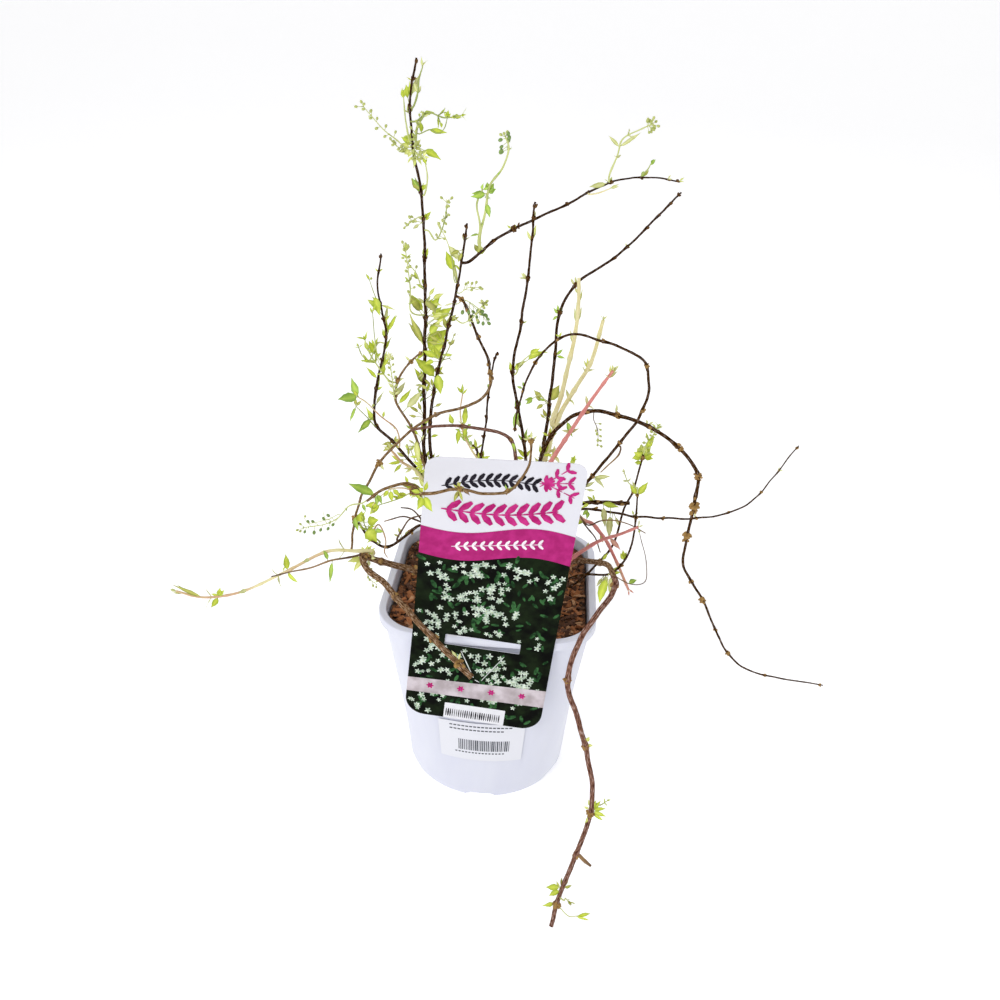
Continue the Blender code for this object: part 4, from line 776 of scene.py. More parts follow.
# Side shoots: parent, millimetres along it, route, thickness and tone
SHOOTS = {
    "lance_stem": ("tall_cane", 296, [(-61, 24, 443), (-62, 23, 455)], 1.1, "green"),
    "short_fork": ("tall_cane", 294, [(-54, 22, 440), (-50, 20, 446)], 1.7, "green"),
    "arc_stalk": ("short_fork", 9, [(-46, 21, 439), (-42, 20, 437), (-38, 19, 440), (-36, 18, 447)], 0.8,
        "green"),
    "rosette_stalk": ("tall_cane", 291, [(-54, 21, 425), (-50, 18, 424)], 1.4, "green"),
    "climbing_stalk": ("tall_cane", 266, [(-48, 21, 412), (-49, 19, 421)], 1.1, "green"),
    "low_bud_stalk": ("tall_cane", 292, [(-66, 21, 429), (-69, 20, 432)], 0.7, "green"),
    "top_shoot": ("tall_cane", 315, [(-54, 25, 458), (-53, 24, 466), (-51, 23, 472)], 1.2, "green"),
    "mid_bud_stalk": ("tall_cane", 254, [(-56, 18, 388), (-61, 16, 384)], 0.7, "green"),
    "hook_stalk": ("tall_cane", 211, [(-54, 14, 357), (-59, 12, 364), (-60, 11, 372)], 0.8, "green"),
    "leaning_side_stalk": ("leaning_cane", 224, [(-29, -11, 371), (-32, -12, 383), (-36, -13, 391)], 0.8,
        "green"),
    "leaning_bud_stalk": ("leaning_cane", 218, [(-19, -11, 357), (-14, -12, 356)], 0.6, "green"),
    "leaning_hanging_stalk": ("leaning_cane", 211, [(-22, -10, 349), (-14, -11, 345), (-9, -12, 338)], 0.6,
        "green"),
    "second_pale_stem": ("long_right_branch", 15, [(-14, -6, 392), (-16, -7, 404), (-13, -7, 412)], 1.5,
        "green"),
    "branch_side_shoot": ("long_right_branch", 90, [(54, 29, 407), (60, 28, 410)], 1.1, "pale"),
    "branch_tip_shoot": ("long_right_branch", 127, [(82, 47, 418), (84, 47, 422)], 1.0, "green"),
    "hanging_left_stalk": ("left_upright", 210, [(-85, 35, 338), (-87, 33, 346)], 0.7, "green"),
    "rising_left_stalk": ("left_upright", 173, [(-84, 32, 303), (-85, 30, 326)], 0.8, "green"),
    "pale_bud_column": ("bowed_cane", 149, [(-66, -11, 299), (-67, -13, 310)], 0.9, "green"),
    "pale_arc_left": ("left_upright", 106, [(-69, 20, 249), (-79, 14, 261), (-87, 10, 272), (-92, 8, 276)],
        1.2, "pale"),
    "toothed_leaf_stalk": ("left_upright", 127, [(-90, 23, 256), (-96, 19, 265)], 0.8, "green"),
    "thick_pale_shoot": ("tall_cane", 80, [(-54, 5, 227), (-63, 3, 234), (-70, 1, 243)], 2.4, "pale"),
    "left_bud_fork": ("left_bud_stalk", 22, [(-110, -20, 199), (-112, -20, 206)], 0.5, "green"),
    "left_bud_tip": ("left_bud_stalk", 30, [(-122, -21, 196), (-124, -22, 200)], 0.5, "green"),
    "lime_leaf_stalk": ("left_arc", 4, [(-55, -8, 217), (-61, -10, 214), (-69, -12, 211), (-76, -14, 209)],
        1.1, "green"),
    "pale_curve": ("left_loop", 98, [(-78, -6, 190), (-73, -8, 179), (-74, -9, 170), (-72, -9, 166)], 1.2,
        "pale"),
    "cut_cane_bud_stalk": ("cut_cane_rise", 82, [(-82, -26, 160), (-76, -27, 155)], 0.6, "green"),
    "brown_side_twig": ("pale_shoot_left", 14, [(-104, -35, 177), (-118, -38, 172), (-131, -40, 169),
        (-143, -42, 166)], 1.5, "brown"),
    "centre_side_shoot": ("centre_upright", 168, [(14, -24, 317), (19, -26, 323)], 1.0, "green"),
    "curled_leaf_shoot": ("right_arch", 132, [(26, 22, 279), (21, 20, 277)], 0.8, "green"),
    "loop_twig": ("right_loop_rise", 142, [(77, -22, 260), (71, -20, 251), (67, -18, 245)], 1.2, "brown"),
    "curling_tendril": ("drooping_cane_arch", 157, [(60, -13, 279), (63, -14, 273), (64, -15, 263)], 0.6,
        "brown"),
    "low_pink_shoot": ("front_hanger_rise", 66, [(58, -18, 185), (71, -19, 196), (86, -22, 205),
        (94, -24, 211)], 2.8, "pink"),
    "hanging_pink_shoot": ("stub_cane", 74, [(61, 1, 199), (66, 0, 198), (72, -2, 192), (77, -6, 187),
        (83, -12, 178), (89, -17, 167), (93, -20, 160)], 2.8, "pink"),
    "upright_pale_shoot": ("pale_shoot_tall", 52, [(39, 7, 284), (42, 6, 304), (45, 5, 324), (46, 4, 342),
        (45, 4, 362)], 3.3, "pale"),
    "dark_arc": ("stub_cane", 78, [(63, -1, 197), (71, -3, 202), (80, -5, 204), (90, -7, 203),
        (101, -9, 198)], 1.1, "brown"),
    "low_brown_twig": ("stub_cane", 76, [(63, 0, 194), (69, -1, 187), (73, -2, 177)], 1.2, "brown"),
    "looping_tendril": ("low_right_cane", 75, [(93, -22, 166), (102, -25, 170), (102, -26, 184),
        (95, -27, 208)], 0.7, "brown"),
    "hanger_stub": ("front_hanger_fall", 182, [(69, -159, 59), (74, -160, 55)], 2.6, "brown"),
    "hanger_tip_stalk": ("front_hanger_fall", 216, [(63, -174, 27), (68, -174, 28)], 0.7, "green"),
    "curled_tendril": ("left_arc", 8, [(-60, -12, 222), (-68, -13, 221), (-76, -14, 214), (-80, -15, 209)],
        1.0, "pale"),
    "old_stub_left": ("left_loop", 51, [(-61, -2, 195), (-69, -5, 194), (-74, -7, 193)], 1.4, "brown"),
    "old_stub_short": ("left_loop", 52, [(-56, -2, 201), (-63, -4, 203)], 1.3, "brown"),
    "old_stub_curved": ("left_loop", 73, [(-62, -3, 186), (-57, -3, 194), (-49, -4, 198)], 1.6, "brown"),
    "rear_left_shoot": ("rear_left_cane", 90, [(-30, 92, 214), (-34, 96, 230), (-33, 99, 246)], 1.6, "pale"),
    "rear_right_shoot": ("rear_right_cane", 84, [(36, 88, 188), (38, 92, 194), (37, 94, 200)], 1.6, "pink"),
    "rear_low_shoot": ("rear_low_cane", 96, [(-58, 94, 176), (-66, 90, 190), (-70, 84, 204)], 1.4, "green"),
}

# Flower buds at the tips of some of them
TIP_BUDS = dict(low_bud_stalk=1, hook_stalk=2, leaning_side_stalk=1, hanging_left_stalk=1, left_bud_tip=1,
                curling_tendril=1, looping_tendril=1, curled_tendril=2, rear_low_shoot=3)

# Young leaves at the knots, in fans as seen from the front: millimetres along the stem, lean of the fan in
# degrees clockwise from upright, its spread to each side, number of leaves, their length, width and tint,
# and the length of their stalks where it isn't 0.3 mm. A leaf on its own has no spread and no number.
TUFTS = {
    "tall_cane": [(320, 23, 12, 0.24, "pale", 2), (319, -3, 8, 0.36, "lime", 3),
        (316, -17, 10, 0.28, "lime", 5), (322, 11, 7, 0.36, "yellow", 1), (312, -20, 40, 3, 5, 0.4, "olive"),
        (330, 0, 60, 3, 4, 0.3, "olive"), (295, 113, 13, 0.42, "lime", 7),
        (296, -30, 40, 5, 7, 0.5, "lime", 1), (293, -105, 62, 5, 6, 0.6, "yellow", 2),
        (291, 160, 40, 4, 7, 0.34, "yellow", 2), (269, -34, 9, 0.55, "olive"),
        (251, -109, 20, 2, 6, 0.4, "pale", 3), (294, 45, 50, 3, 5, 0.5, "yellow"),
        (267, -31, 5, 2, 11.5, 0.28, "green"), (268, 25, 10, 2, 7.5, 0.38, "lime"),
        (252, 35, 30, 3, 6, 0.42, "lime"), (252, -40, 20, 2, 5, 0.4, "pale"),
        (229, 4, 14, 2, 9.5, 0.38, "lime"), (212, -45, 22, 2, 6, 0.4, "lime"),
        (202, -5, 38, 2, 6.5, 0.38, "pale"), (196, -34, 11, 0.4, "lime", 2), (192, -45, 15, 0.42, "olive", 5),
        (205, 152, 13, 0.5, "olive", 1), (188, 48, 13, 0.45, "lime", 6), (190, 80, 16, 2, 8, 0.4, "pale", 5),
        (180, 30, 24, 3, 9, 0.4, "olive", 4), (172, 40, 17, 0.6, "lime", 2),
        (168, 60, 24, 3, 12, 0.55, "lime", 4), (178, 62, 20, 2, 12, 0.5, "lime", 5),
        (150, -30, 10, 2, 12, 0.3, "lime", 1), (194, 50, 30, 4, 10, 0.5, "lime", 4),
        (202, 60, 30, 3, 7, 0.4, "yellow", 5), (174, -29, 6, 3, 18, 0.2, "olive", 3),
        (172, -140, 6, 0.4, "lime"), (149, -22, 8, 2, 12, 0.3, "olive", 1),
        (140, 30, 20, 2, 8, 0.34, "lime", 4), (128, -60, 30, 3, 7, 0.36, "olive", 4),
        (112, 10, 60, 4, 7, 0.36, "lime", 4), (158, -150, 10, 2, 6, 0.36, "pale"),
        (150, -110, 20, 2, 7, 0.36, "pale"), (142, -100, 50, 3, 6, 0.45, "green"),
        (124, 30, 30, 2, 6, 0.4, "lime"), (98, -30, 60, 3, 7, 0.34, "lime")],
    "leaning_cane": [(205, -110, 20, 3, 7, 0.3, "yellow", 5), (172, -60, 30, 3, 9, 0.5, "lime", 3),
        (250, 20, 30, 2, 5, 0.3, "pale"), (240, -60, 25, 2, 4.5, 0.4, "pale"),
        (232, -10, 14, 2, 7, 0.3, "lime"), (222, -8, 17, 0.12, "pale"), (211, -100, 6, 0.22, "pale"),
        (199, 57, 10, 2, 7.5, 0.4, "olive"), (193, -6, 14, 2, 10, 0.36, "olive"),
        (237, -41, 10, 0.4, "pale", 2), (245, -145, 20, 2, 8, 0.4, "olive", 2),
        (160, -46, 17, 0.46, "lime", 1), (164, 173, 13, 0.5, "lime", 1),
        (184, -60, 30, 3, 8, 0.4, "olive", 3), (176, 50, 30, 2, 6, 0.4, "lime", 2),
        (150, -40, 30, 3, 7, 0.36, "olive", 3), (138, 30, 30, 2, 6, 0.4, "olive", 2),
        (164, 25, 20, 2, 6, 0.4, "lime"), (127, -40, 40, 2, 7, 0.4, "lime"),
        (98, 20, 50, 4, 7, 0.36, "lime")],
    "left_upright": [(190, 22, 6, 2, 15, 0.2, "lime", 4), (165, 25, 8, 2, 15, 0.2, "lime", 4),
        (140, 20, 10, 2, 12, 0.2, "pale", 3), (231, 0, 48, 2, 4, 0.4, "lime"), (210, 102, 9, 0.17, "yellow"),
        (210, -64, 10, 2, 8, 0.3, "lime"), (200, 31, 12, 2, 6.5, 0.32, "lime"),
        (188, 12, 5, 2, 15, 0.19, "lime"), (188, -22, 7, 0.3, "lime"), (202, -35, 12.5, 0.4, "lime", 4),
        (194, 4, 15, 0.16, "pale", 3), (179, 12, 7, 2, 12.5, 0.24, "lime", 1),
        (176, 78, 12, 2, 9, 0.24, "pale", 1), (170, -31, 11, 0.5, "lime", 8), (151, 8, 14, 0.2, "lime"),
        (130, -28, 10, 0.5, "lime"), (134, -146, 14.5, 0.34, "green", 2), (160, -41, 11, 0.26, "lime"),
        (152, 35, 25, 2, 6, 0.36, "lime"), (111, -118, 14, 2, 10, 0.42, "olive"),
        (96, -60, 50, 3, 7, 0.36, "olive", 2), (111, 70, 60, 3, 6, 0.4, "olive")],
    "bowed_cane": [(118, 168, 17, 0.24, "yellow", 1), (104, -60, 30, 2, 8, 0.3, "lime", 1),
        (176, 0, 45, 2, 5, 0.36, "pale"), (160, 20, 40, 2, 5, 0.4, "pale"), (149, 23, 11, 0.3, "pale"),
        (138, 37, 14, 0.3, "pale", 4), (144, 39, 12, 0.26, "lime", 1), (112, -30, 60, 4, 6, 0.3, "pale", 3),
        (125, -35, 25, 2, 5.5, 0.34, "green"), (98, -80, 30, 3, 7, 0.34, "lime"),
        (72, 20, 50, 3, 7, 0.38, "lime")],
    "left_arc": [(30, 165, 40, 3, 8, 0.5, "lime", 2), (12, 160, 50, 3, 8, 0.5, "lime", 1),
        (4, -77, 6, 2, 15, 0.26, "lime", 3), (2, -50, 40, 3, 8, 0.4, "yellow", 1), (4, 132, 10, 0.44, "lime"),
        (18, -60, 40, 2, 7, 0.4, "lime"), (42, -66, 19, 0.34, "green"), (40, 165, 14, 2, 9, 0.45, "green")],
    "left_loop": [(111, 10, 8, 0.8, "lime", 1), (112, 82, 10, 0.75, "lime", 6),
        (112, 128, 12, 0.8, "lime", 7), (112, 106, 7, 0.5, "green", 12),
        (70, -20, 50, 3, 6, 0.36, "olive", 2), (50, 10, 50, 3, 6, 0.3, "olive", 2)],
    "left_hoop_fall": [(160, 172, 9, 0.45, "green"), (107, 150, 5, 0.4, "pale")],
    "centre_upright": [(265, 4, 10, 2, 6, 0.28, "pale"), (252, 8, 10, 0.26, "yellow"),
        (252, -24, 6, 0.26, "yellow"), (230, -52, 24, 3, 5, 0.34, "pale"), (202, 30, 30, 2, 4.5, 0.4, "lime"),
        (168, -20, 7.5, 0.42, "lime"), (171, 55, 8.5, 0.36, "olive"), (170, 50, 12, 0.36, "lime", 11),
        (127, -28, 12, 0.3, "pale"), (143, -10, 18, 3, 6.5, 0.4, "green"), (142, -168, 12, 0.32, "green"),
        (118, 0, 40, 3, 8, 0.26, "green"), (106, -30, 50, 3, 7, 0.36, "lime")],
    "right_arch": [(211, -8, 40, 4, 5.5, 0.32, "pale"), (211, 155, 5, 0.32, "pale"),
        (190, -15, 30, 3, 6, 0.34, "green"), (190, -135, 5, 0.34, "green"),
        (164, 75, 30, 2, 7.5, 0.36, "green"), (133, 32, 12, 0.55, "olive"), (133, -58, 8, 0.5, "olive", 5),
        (133, -99, 20, 2, 7, 0.5, "olive", 4), (121, -20, 40, 3, 6, 0.4, "olive", 1),
        (104, 30, 40, 2, 7, 0.36, "lime"), (252, 20, 30, 2, 3.5, 0.3, "pale")],
    "long_right_branch": [(127, 36, 14, 2, 5, 0.42, "green"), (146, 60, 30, 2, 3.5, 0.34, "pale"),
        (106, -20, 30, 2, 4, 0.4, "lime"), (38, 0, 50, 2, 4, 0.4, "lime"),
        (154, 75, 18, 2, 4.5, 0.3, "yellow"), (106, -119, 12, 0.3, "pale", 3),
        (128, 35, 8, 2, 7.5, 0.26, "olive"), (12, 20, 40, 3, 7, 0.45, "olive")],
    "right_loop_fall": [(80, 34, 6, 2, 8.5, 0.34, "lime"), (60, -20, 30, 2, 4, 0.4, "lime"),
        (100, -40, 30, 2, 4.5, 0.4, "green")],
    "right_loop_rise": [(111, 104, 16, 2, 14, 0.3, "pale", 1), (100, 60, 40, 3, 7, 0.3, "pale", 2),
        (90, -107, 7, 0.44, "lime"), (90, 90, 10, 2, 7.5, 0.36, "lime"), (82, 178, 7, 0.6, "green"),
        (72, -118, 8, 2, 12, 0.4, "lime"), (144, 30, 5, 0.4, "lime")],
    "drooping_cane_arch": [(138, 157, 10, 0.3, "green"), (120, 0, 60, 3, 6, 0.34, "lime"),
        (104, 30, 40, 3, 8, 0.36, "lime"), (172, 0, 6, 0.34, "pale"), (193, 20, 30, 2, 4, 0.4, "pale")],
    "sucker_cane": [(120, 0, 95, 8, 7.5, 0.75, "lime"), (121, 10, 80, 7, 5.5, 0.7, "yellow", 1),
        (121, 24, 12, 0.4, "lime", 4), (117, -118, 10, 2, 6.5, 0.5, "lime")],
    "low_right_cane": [(139, 33, 10, 0.4, "lime"), (139, -32, 8, 0.4, "lime"),
        (69, -165, 12, 2, 9, 0.34, "pale", 2), (76, 60, 20, 2, 6, 0.5, "lime"),
        (88, -10, 25, 3, 7.5, 0.45, "lime"), (70, 172, 8, 2, 8, 0.36, "pale")],
    "stub_cane": [(92, -60, 40, 3, 5.5, 0.42, "lime"), (96, 103, 10.5, 0.35, "lime", 1),
        (98, 166, 13, 0.3, "pale", 2), (103, 179, 15, 0.3, "pale", 8), (90, -115, 8, 0.4, "lime")],
    "far_right_cane": [(77, -163, 20, 2, 7, 0.5, "green", 1), (96, 170, 20, 2, 9, 0.3, "pale", 3),
        (112, 20, 30, 2, 4, 0.4, "lime"), (160, 0, 4, 0.3, "pale"), (233, 40, 30, 2, 4, 0.3, "pale")],
    "reddish_arch": [(56, -4, 14, 0.27, "lime"), (56, 176, 6, 2, 9, 0.34, "lime"), (64, -30, 7, 0.5, "lime"),
        (60, -173, 10, 0.3, "lime", 2), (23, 150, 6, 0.4, "green")],
    "crooked_twig": [(87, 20, 40, 3, 7.5, 0.36, "lime"), (137, -10, 4, 0.5, "green")],
    "front_hanger_fall": [(155, 98, 24, 3, 9, 0.3, "lime"), (154, -45, 20, 2, 5, 0.4, "yellow"),
        (156, -150, 5, 0.4, "yellow"), (156, 26, 10, 2, 9, 0.3, "lime", 1),
        (114, 60, 30, 2, 4.5, 0.6, "yellow"), (205, 16, 60, 4, 6, 0.4, "olive"),
        (205, -112, 14, 2, 10, 0.5, "lime"), (214, -100, 7, 0.4, "lime")],
    "cut_cane_reach": [(2, -103, 12, 0.38, "yellow"), (3, -148, 11.5, 0.34, "yellow"),
        (2, 4, 26, 4, 7.5, 0.52, "yellow"), (2, 120, 30, 2, 6, 0.5, "pale"),
        (118, -20, 30, 3, 6, 0.34, "pale")],
    "card_twig_cross": [(13, 168, 18, 2, 11, 0.55, "lime", 1), (13, -30, 40, 2, 7, 0.5, "lime", 1),
        (33, 176, 14, 2, 9, 0.28, "olive"), (33, -164, 6, 0.3, "brown"), (33, 10, 60, 4, 4, 0.45, "olive"),
        (34, 118, 5, 0.4, "brown"), (60, 0, 40, 2, 3.5, 0.4, "green"), (92, -20, 60, 4, 5, 0.3, "pale")],
    "lance_stem": [(99, -8, 8, 2, 9, 0.3, "lime")],
    "short_fork": [(99, 30, 30, 2, 4.5, 0.4, "pale")],
    "arc_stalk": [(3, -8, 8, 0.36, "lime"), (8, 92, 10.5, 0.3, "lime"), (99, 0, 40, 3, 3.8, 0.48, "lime")],
    "rosette_stalk": [(99, 150, 5, 0.4, "lime"), (99, 60, 30, 2, 4, 0.5, "yellow")],
    "climbing_stalk": [(99, -10, 24, 2, 4, 0.36, "lime")],
    "top_shoot": [(10, 0, 24, 2, 7, 0.34, "pale"), (99, 6, 14, 2, 6, 0.28, "pale")],
    "hook_stalk": [(9, -45, 12, 2, 6, 0.46, "lime"), (99, 10, 40, 2, 3.5, 0.5, "pale")],
    "leaning_side_stalk": [(9, -22, 10.5, 0.46, "lime"), (99, -35, 4.5, 0.36, "pale")],
    "second_pale_stem": [(99, 40, 30, 2, 4.5, 0.5, "green"), (10, -100, 6, 0.4, "green")],
    "stalk_spray": [(34, -103, 6, 2, 11, 0.42, "green", 1), (34, 24, 30, 3, 6, 0.7, "green"),
        (28, 160, 9, 0.4, "green")],
    "branch_spray": [(22, -52, 9.5, 0.26, "pale"), (22, 58, 13, 0.2, "pale")],
    "branch_side_shoot": [(99, 72, 6, 2, 6.5, 0.28, "pale")],
    "branch_tip_shoot": [(99, 34, 8, 2, 6, 0.4, "green")],
    "hanging_left_stalk": [(9, 166, 12, 0.42, "lime"), (99, -30, 4, 0.4, "lime")],
    "rising_left_stalk": [(12, -16, 20, 2, 8, 0.26, "lime"), (99, -5, 20, 2, 6, 0.3, "lime")],
    "pale_bud_column": [(5, 0, 50, 2, 6, 0.36, "pale"), (10, 0, 45, 2, 5.5, 0.4, "pale"),
        (99, 0, 40, 3, 4.8, 0.4, "pale")],
    "pale_arc_left": [(99, -104, 12, 0.62, "green"), (99, -28, 12, 0.42, "green", 1),
        (30, 10, 5, 0.4, "lime"), (99, -30, 4, 0.5, "lime")],
    "toothed_leaf_stalk": [(99, -160, 12, 0.3, "green", 1), (99, 20, 20, 2, 7, 0.4, "olive")],
    "thick_pale_shoot": [(26, -100, 40, 3, 10, 0.3, "lime", 1), (5, 60, 60, 4, 8, 0.34, "pale", 1),
        (8, -80, 20, 2, 8, 0.32, "pale"), (18, -110, 15, 2, 8, 0.28, "pale"),
        (99, -20, 40, 3, 6, 0.38, "pale"), (12, 20, 30, 3, 6, 0.38, "lime")],
    "left_bud_stalk": [(4, 150, 6, 0.4, "green")],
    "lime_leaf_stalk": [(14, -100, 10, 2, 9, 0.36, "lime"), (20, -30, 40, 2, 5.5, 0.46, "lime"),
        (99, -110, 20, 2, 10.5, 0.6, "lime"), (2, 129, 10, 0.65, "lime", 1),
        (5, -118, 6, 2, 8, 0.34, "yellow")],
    "pale_shoot_left": [(67, -5, 12, 0.4, "lime"), (67, 140, 11, 0.4, "lime"),
        (69, 30, 24, 2, 5, 0.34, "lime"), (117, 30, 14, 2, 6.5, 0.6, "lime"), (117, -157, 7, 0.5, "lime"),
        (116, -75, 6, 0.3, "lime"), (127, -66, 18, 0.13, "olive"), (133, -52, 14, 0.13, "olive"),
        (139, -84, 6, 2, 8, 0.18, "olive")],
    "brown_side_twig": [(21, 178, 13, 0.22, "green", 1), (25, -12, 7, 0.4, "green", 1)],
    "upright_pale_shoot": [(44, 8, 20, 2, 8, 0.2, "pale"), (58, -14, 9, 0.22, "pale"),
        (72, 0, 14, 3, 12, 0.2, "pale"), (84, 4, 8, 2, 12, 0.18, "yellow")],
    "pale_shoot_tall": [(20, -42, 7, 0.3, "pale"), (30, 48, 7, 0.26, "pale"),
        (52, -2, 34, 3, 6.5, 0.3, "pale"), (99, 0, 30, 3, 6.5, 0.26, "yellow")],
    "pink_shoot_side": [(24, 45, 6, 0.28, "pale"), (99, 20, 22, 3, 6, 0.26, "yellow")],
    "centre_side_shoot": [(5, -12, 5, 0.4, "lime"), (99, 55, 24, 3, 7.5, 0.36, "lime")],
    "curled_leaf_shoot": [(99, -120, 16, 2, 7.5, 0.46, "green"), (4, -70, 5.5, 0.4, "green")],
    "low_pink_shoot": [(18, 30, 5, 0.3, "pale"), (99, 40, 30, 2, 5, 0.3, "pale"),
        (36, 133, 11, 0.34, "pink")],
    "hanging_pink_shoot": [(14, -105, 6, 2, 15, 0.42, "lime", 1), (26, 150, 12, 2, 9, 0.3, "olive"),
        (99, 150, 25, 2, 5, 0.3, "pink")],
    "front_hanger_rise": [(125, -160, 17, 0.34, "lime", 5), (125, -178, 13, 0.3, "pale", 3),
        (106, 28, 5, 0.4, "lime")],
    "looping_tendril": [(14, 50, 6, 0.55, "green")],
    "hanger_tip_stalk": [(99, 84, 6, 2, 10, 0.3, "lime")],
    "rear_left_cane": [(40, -30, 60, 3, 8, 0.36, "lime"), (74, 20, 60, 3, 8, 0.36, "green"),
        (112, -20, 60, 3, 8, 0.36, "lime")],
    "rear_right_cane": [(44, 20, 60, 3, 8, 0.36, "lime"), (82, -20, 60, 3, 8, 0.36, "yellow"),
        (122, 30, 60, 3, 8, 0.36, "green")],
    "rear_droop_cane": [(38, 30, 60, 3, 8, 0.36, "green"), (72, -30, 60, 3, 8, 0.36, "lime"),
        (104, 10, 60, 3, 8, 0.36, "green")],
    "rear_low_cane": [(42, -30, 60, 3, 8, 0.36, "green"), (84, 20, 60, 3, 8, 0.36, "lime"),
        (118, -40, 60, 3, 9, 0.36, "green")],
    "rear_left_shoot": [(20, 0, 60, 2, 8, 0.3, "pale"), (99, 0, 40, 3, 8, 0.3, "lime")],
    "rear_right_shoot": [(20, 0, 60, 2, 8, 0.3, "pale"), (99, 0, 40, 3, 8, 0.3, "yellow")],
    "rear_low_shoot": [(16, 0, 60, 2, 8, 0.34, "green"), (99, -20, 40, 2, 7, 0.34, "lime")],
}

# Bud stalks: where they begin on the stem in millimetres, number, longest, middle lean and spread to
# each side
RACEMES = {
    "left_bud_stalk": (23, 9, 10, -110, 68), "crown_spray_left": (8, 9, 4, -50, 80),
    "low_bud_stalk": (3, 6, 4, -80, 60), "leaning_hanging_stalk": (6, 13, 11, 155, 32),
    "leaning_bud_stalk": (4, 8, 7, 45, 50), "mid_bud_stalk": (3, 7, 4, -90, 60),
    "stalk_spray": (60, 7, 7, -60, 70), "branch_spray": (42, 12, 5, 80, 85),
    "pale_bud_column": (2, 12, 5, 0, 55), "upper_spray": (14, 10, 4, 60, 90),
    "middle_spray": (20, 9, 4, 0, 65), "cut_cane_bud_stalk": (6, 8, 5, 120, 60),
    "hanging_buds": (12, 8, 5, 100, 60), "yellow_cluster": (0, 16, 4, 0, 90),
    "pale_arc_left": (4, 2, 3, 0, 60), "hook_stalk": (8, 6, 4, -30, 60), "rosette_stalk": (1, 12, 5, 120, 90),
    "short_fork": (1, 14, 6, -90, 80), "curling_tendril": (6, 8, 4, 150, 50),
}
GREEN_RACEMES = ("left_bud_stalk", "leaning_hanging_stalk", "stalk_spray")
FRONT_UP, FRONT_OUT = Vector((0, 0.47, 0.88)), Vector((0, -0.88, 0.47))

growing, grown = {}, {}
twig_meshes = {tone: [] for tone in ("green", "pale", "pink", "brown")}


def growth(kind):
    """What the stem in hand has grown of one kind of leaf, stalk or bud."""
    if kind not in growing:
        growing[kind] = bmesh.new()
        growing[kind].loops.layers.uv.new("UVMap")
    return growing[kind]


def finish_stem():
    """Lays by what the stem in hand has grown."""
    for kind in sorted(growing):
        grown.setdefault(kind, []).append(mesh_of(growing.pop(kind), kind))


def outline_width(up):
    """Half-width of a deutzia leaf from stalk to tip: lance-shaped, widest below the middle."""
    return math.sin(math.pi * min(1.0, max(0.0, up)) ** 0.72) ** 1.15


def add_leaf(tint, base, heading, face_up, length, draw, width=0.36, rows=8):
    """One leaf blade, folded along its midrib, arched along its length and toothed at the edge."""
    blade = bmesh.ops.create_grid(growth(tint), x_segments=2, y_segments=rows, size=0.5, calc_uvs=True)
    droop, fold, twist = draw.uniform(-0.3, 0.9), draw.uniform(0.1, 0.5), draw.uniform(-0.5, 0.5)
    side = heading.cross(face_up)
    if side.length < 0.1:
        side = heading.cross(Vector((0.3, 1, 0.2)))
    side.normalize()
    up = side.cross(heading)
    for vertex in blade["verts"]:
        across, along = vertex.co.x * 2, vertex.co.y + 0.5
        tooth = 1 + (0.07 if round(along * rows) % 2 else -0.05)
        half = width * length / 2 * max(0.05, outline_width(along)) * tooth
        bend = droop * along
        run = length * (math.sin(bend) / droop if abs(droop) > 0.01 else along)
        fall = length * ((1 - math.cos(bend)) / droop if abs(droop) > 0.01 else 0.0)
        x, lift = across * half, abs(across) * half * fold - fall
        lift += math.sin(along * 9 + across) * 0.02 * length * abs(across)
        c, s = math.cos(twist * along), math.sin(twist * along)
        vertex.co = base + side * (x * c - lift * s) + heading * run + up * (x * s + lift * c)


def add_stalk(base, tip, thick):
    """A straight, hair-thin leaf or bud stalk."""
    place = Matrix.Translation((base + tip) / 2) @ aligned((tip - base).normalized())
    bmesh.ops.create_cone(growth("stalk"), cap_ends=True, segments=5, radius1=thick / 2, radius2=thick * 0.38,
                          depth=(tip - base).length, matrix=place)


def add_bud(point, out, reach, size, tone="pale"):
    """A round flower bud at the end of a hair-thin stalk."""
    tip = point + out.normalized() * reach
    add_stalk(point, tip, 0.4 * MM)
    place = Matrix.Translation(tip) @ aligned(out.normalized()) @ Matrix.Diagonal((size, size, size * 1.3, 1))
    bmesh.ops.create_uvsphere(growth(tone + " bud"), u_segments=7, v_segments=5, radius=1.0, matrix=place)


def add_buds(point, heading, count, draw):
    """A little panicle: buds that spring from one point."""
    for index in range(count):
        turn = GOLDEN_TURN * index + draw.uniform(-0.4, 0.4)
        out = aligned(heading) @ Vector((math.cos(turn), math.sin(turn), draw.uniform(0.4, 1.8)))
        add_bud(point, out, draw.uniform(2.2, 5.5) * MM, 0.85 * MM)


def fan_out(turn, forward):
    """A way that leans clockwise from upright by a turn, as seen from the front, and comes forward."""
    return Vector((math.sin(turn), 0, 0)) + FRONT_UP * math.cos(turn) + FRONT_OUT * forward


def add_raceme(stem, tone, draw, begin, count, longest, lean, spread):
    """Buds to both sides of a stalk, from a distance along it to its tip."""
    for index in range(count):
        share = (index + 0.5) / count
        point = stem.at(begin * MM + (stem.length - begin * MM) * share)
        turn = math.radians(lean + spread * (1 if index % 2 else -1) * draw.uniform(0.5, 1.1))
        out = fan_out(turn, draw.uniform(-0.4, 0.5))
        size = draw.uniform(0.7, 0.95) * MM * (1.3 if tone == "green" else 1)
        add_bud(point, out, longest * MM * draw.uniform(0.45, 1) * (1 - 0.45 * share), size, tone)


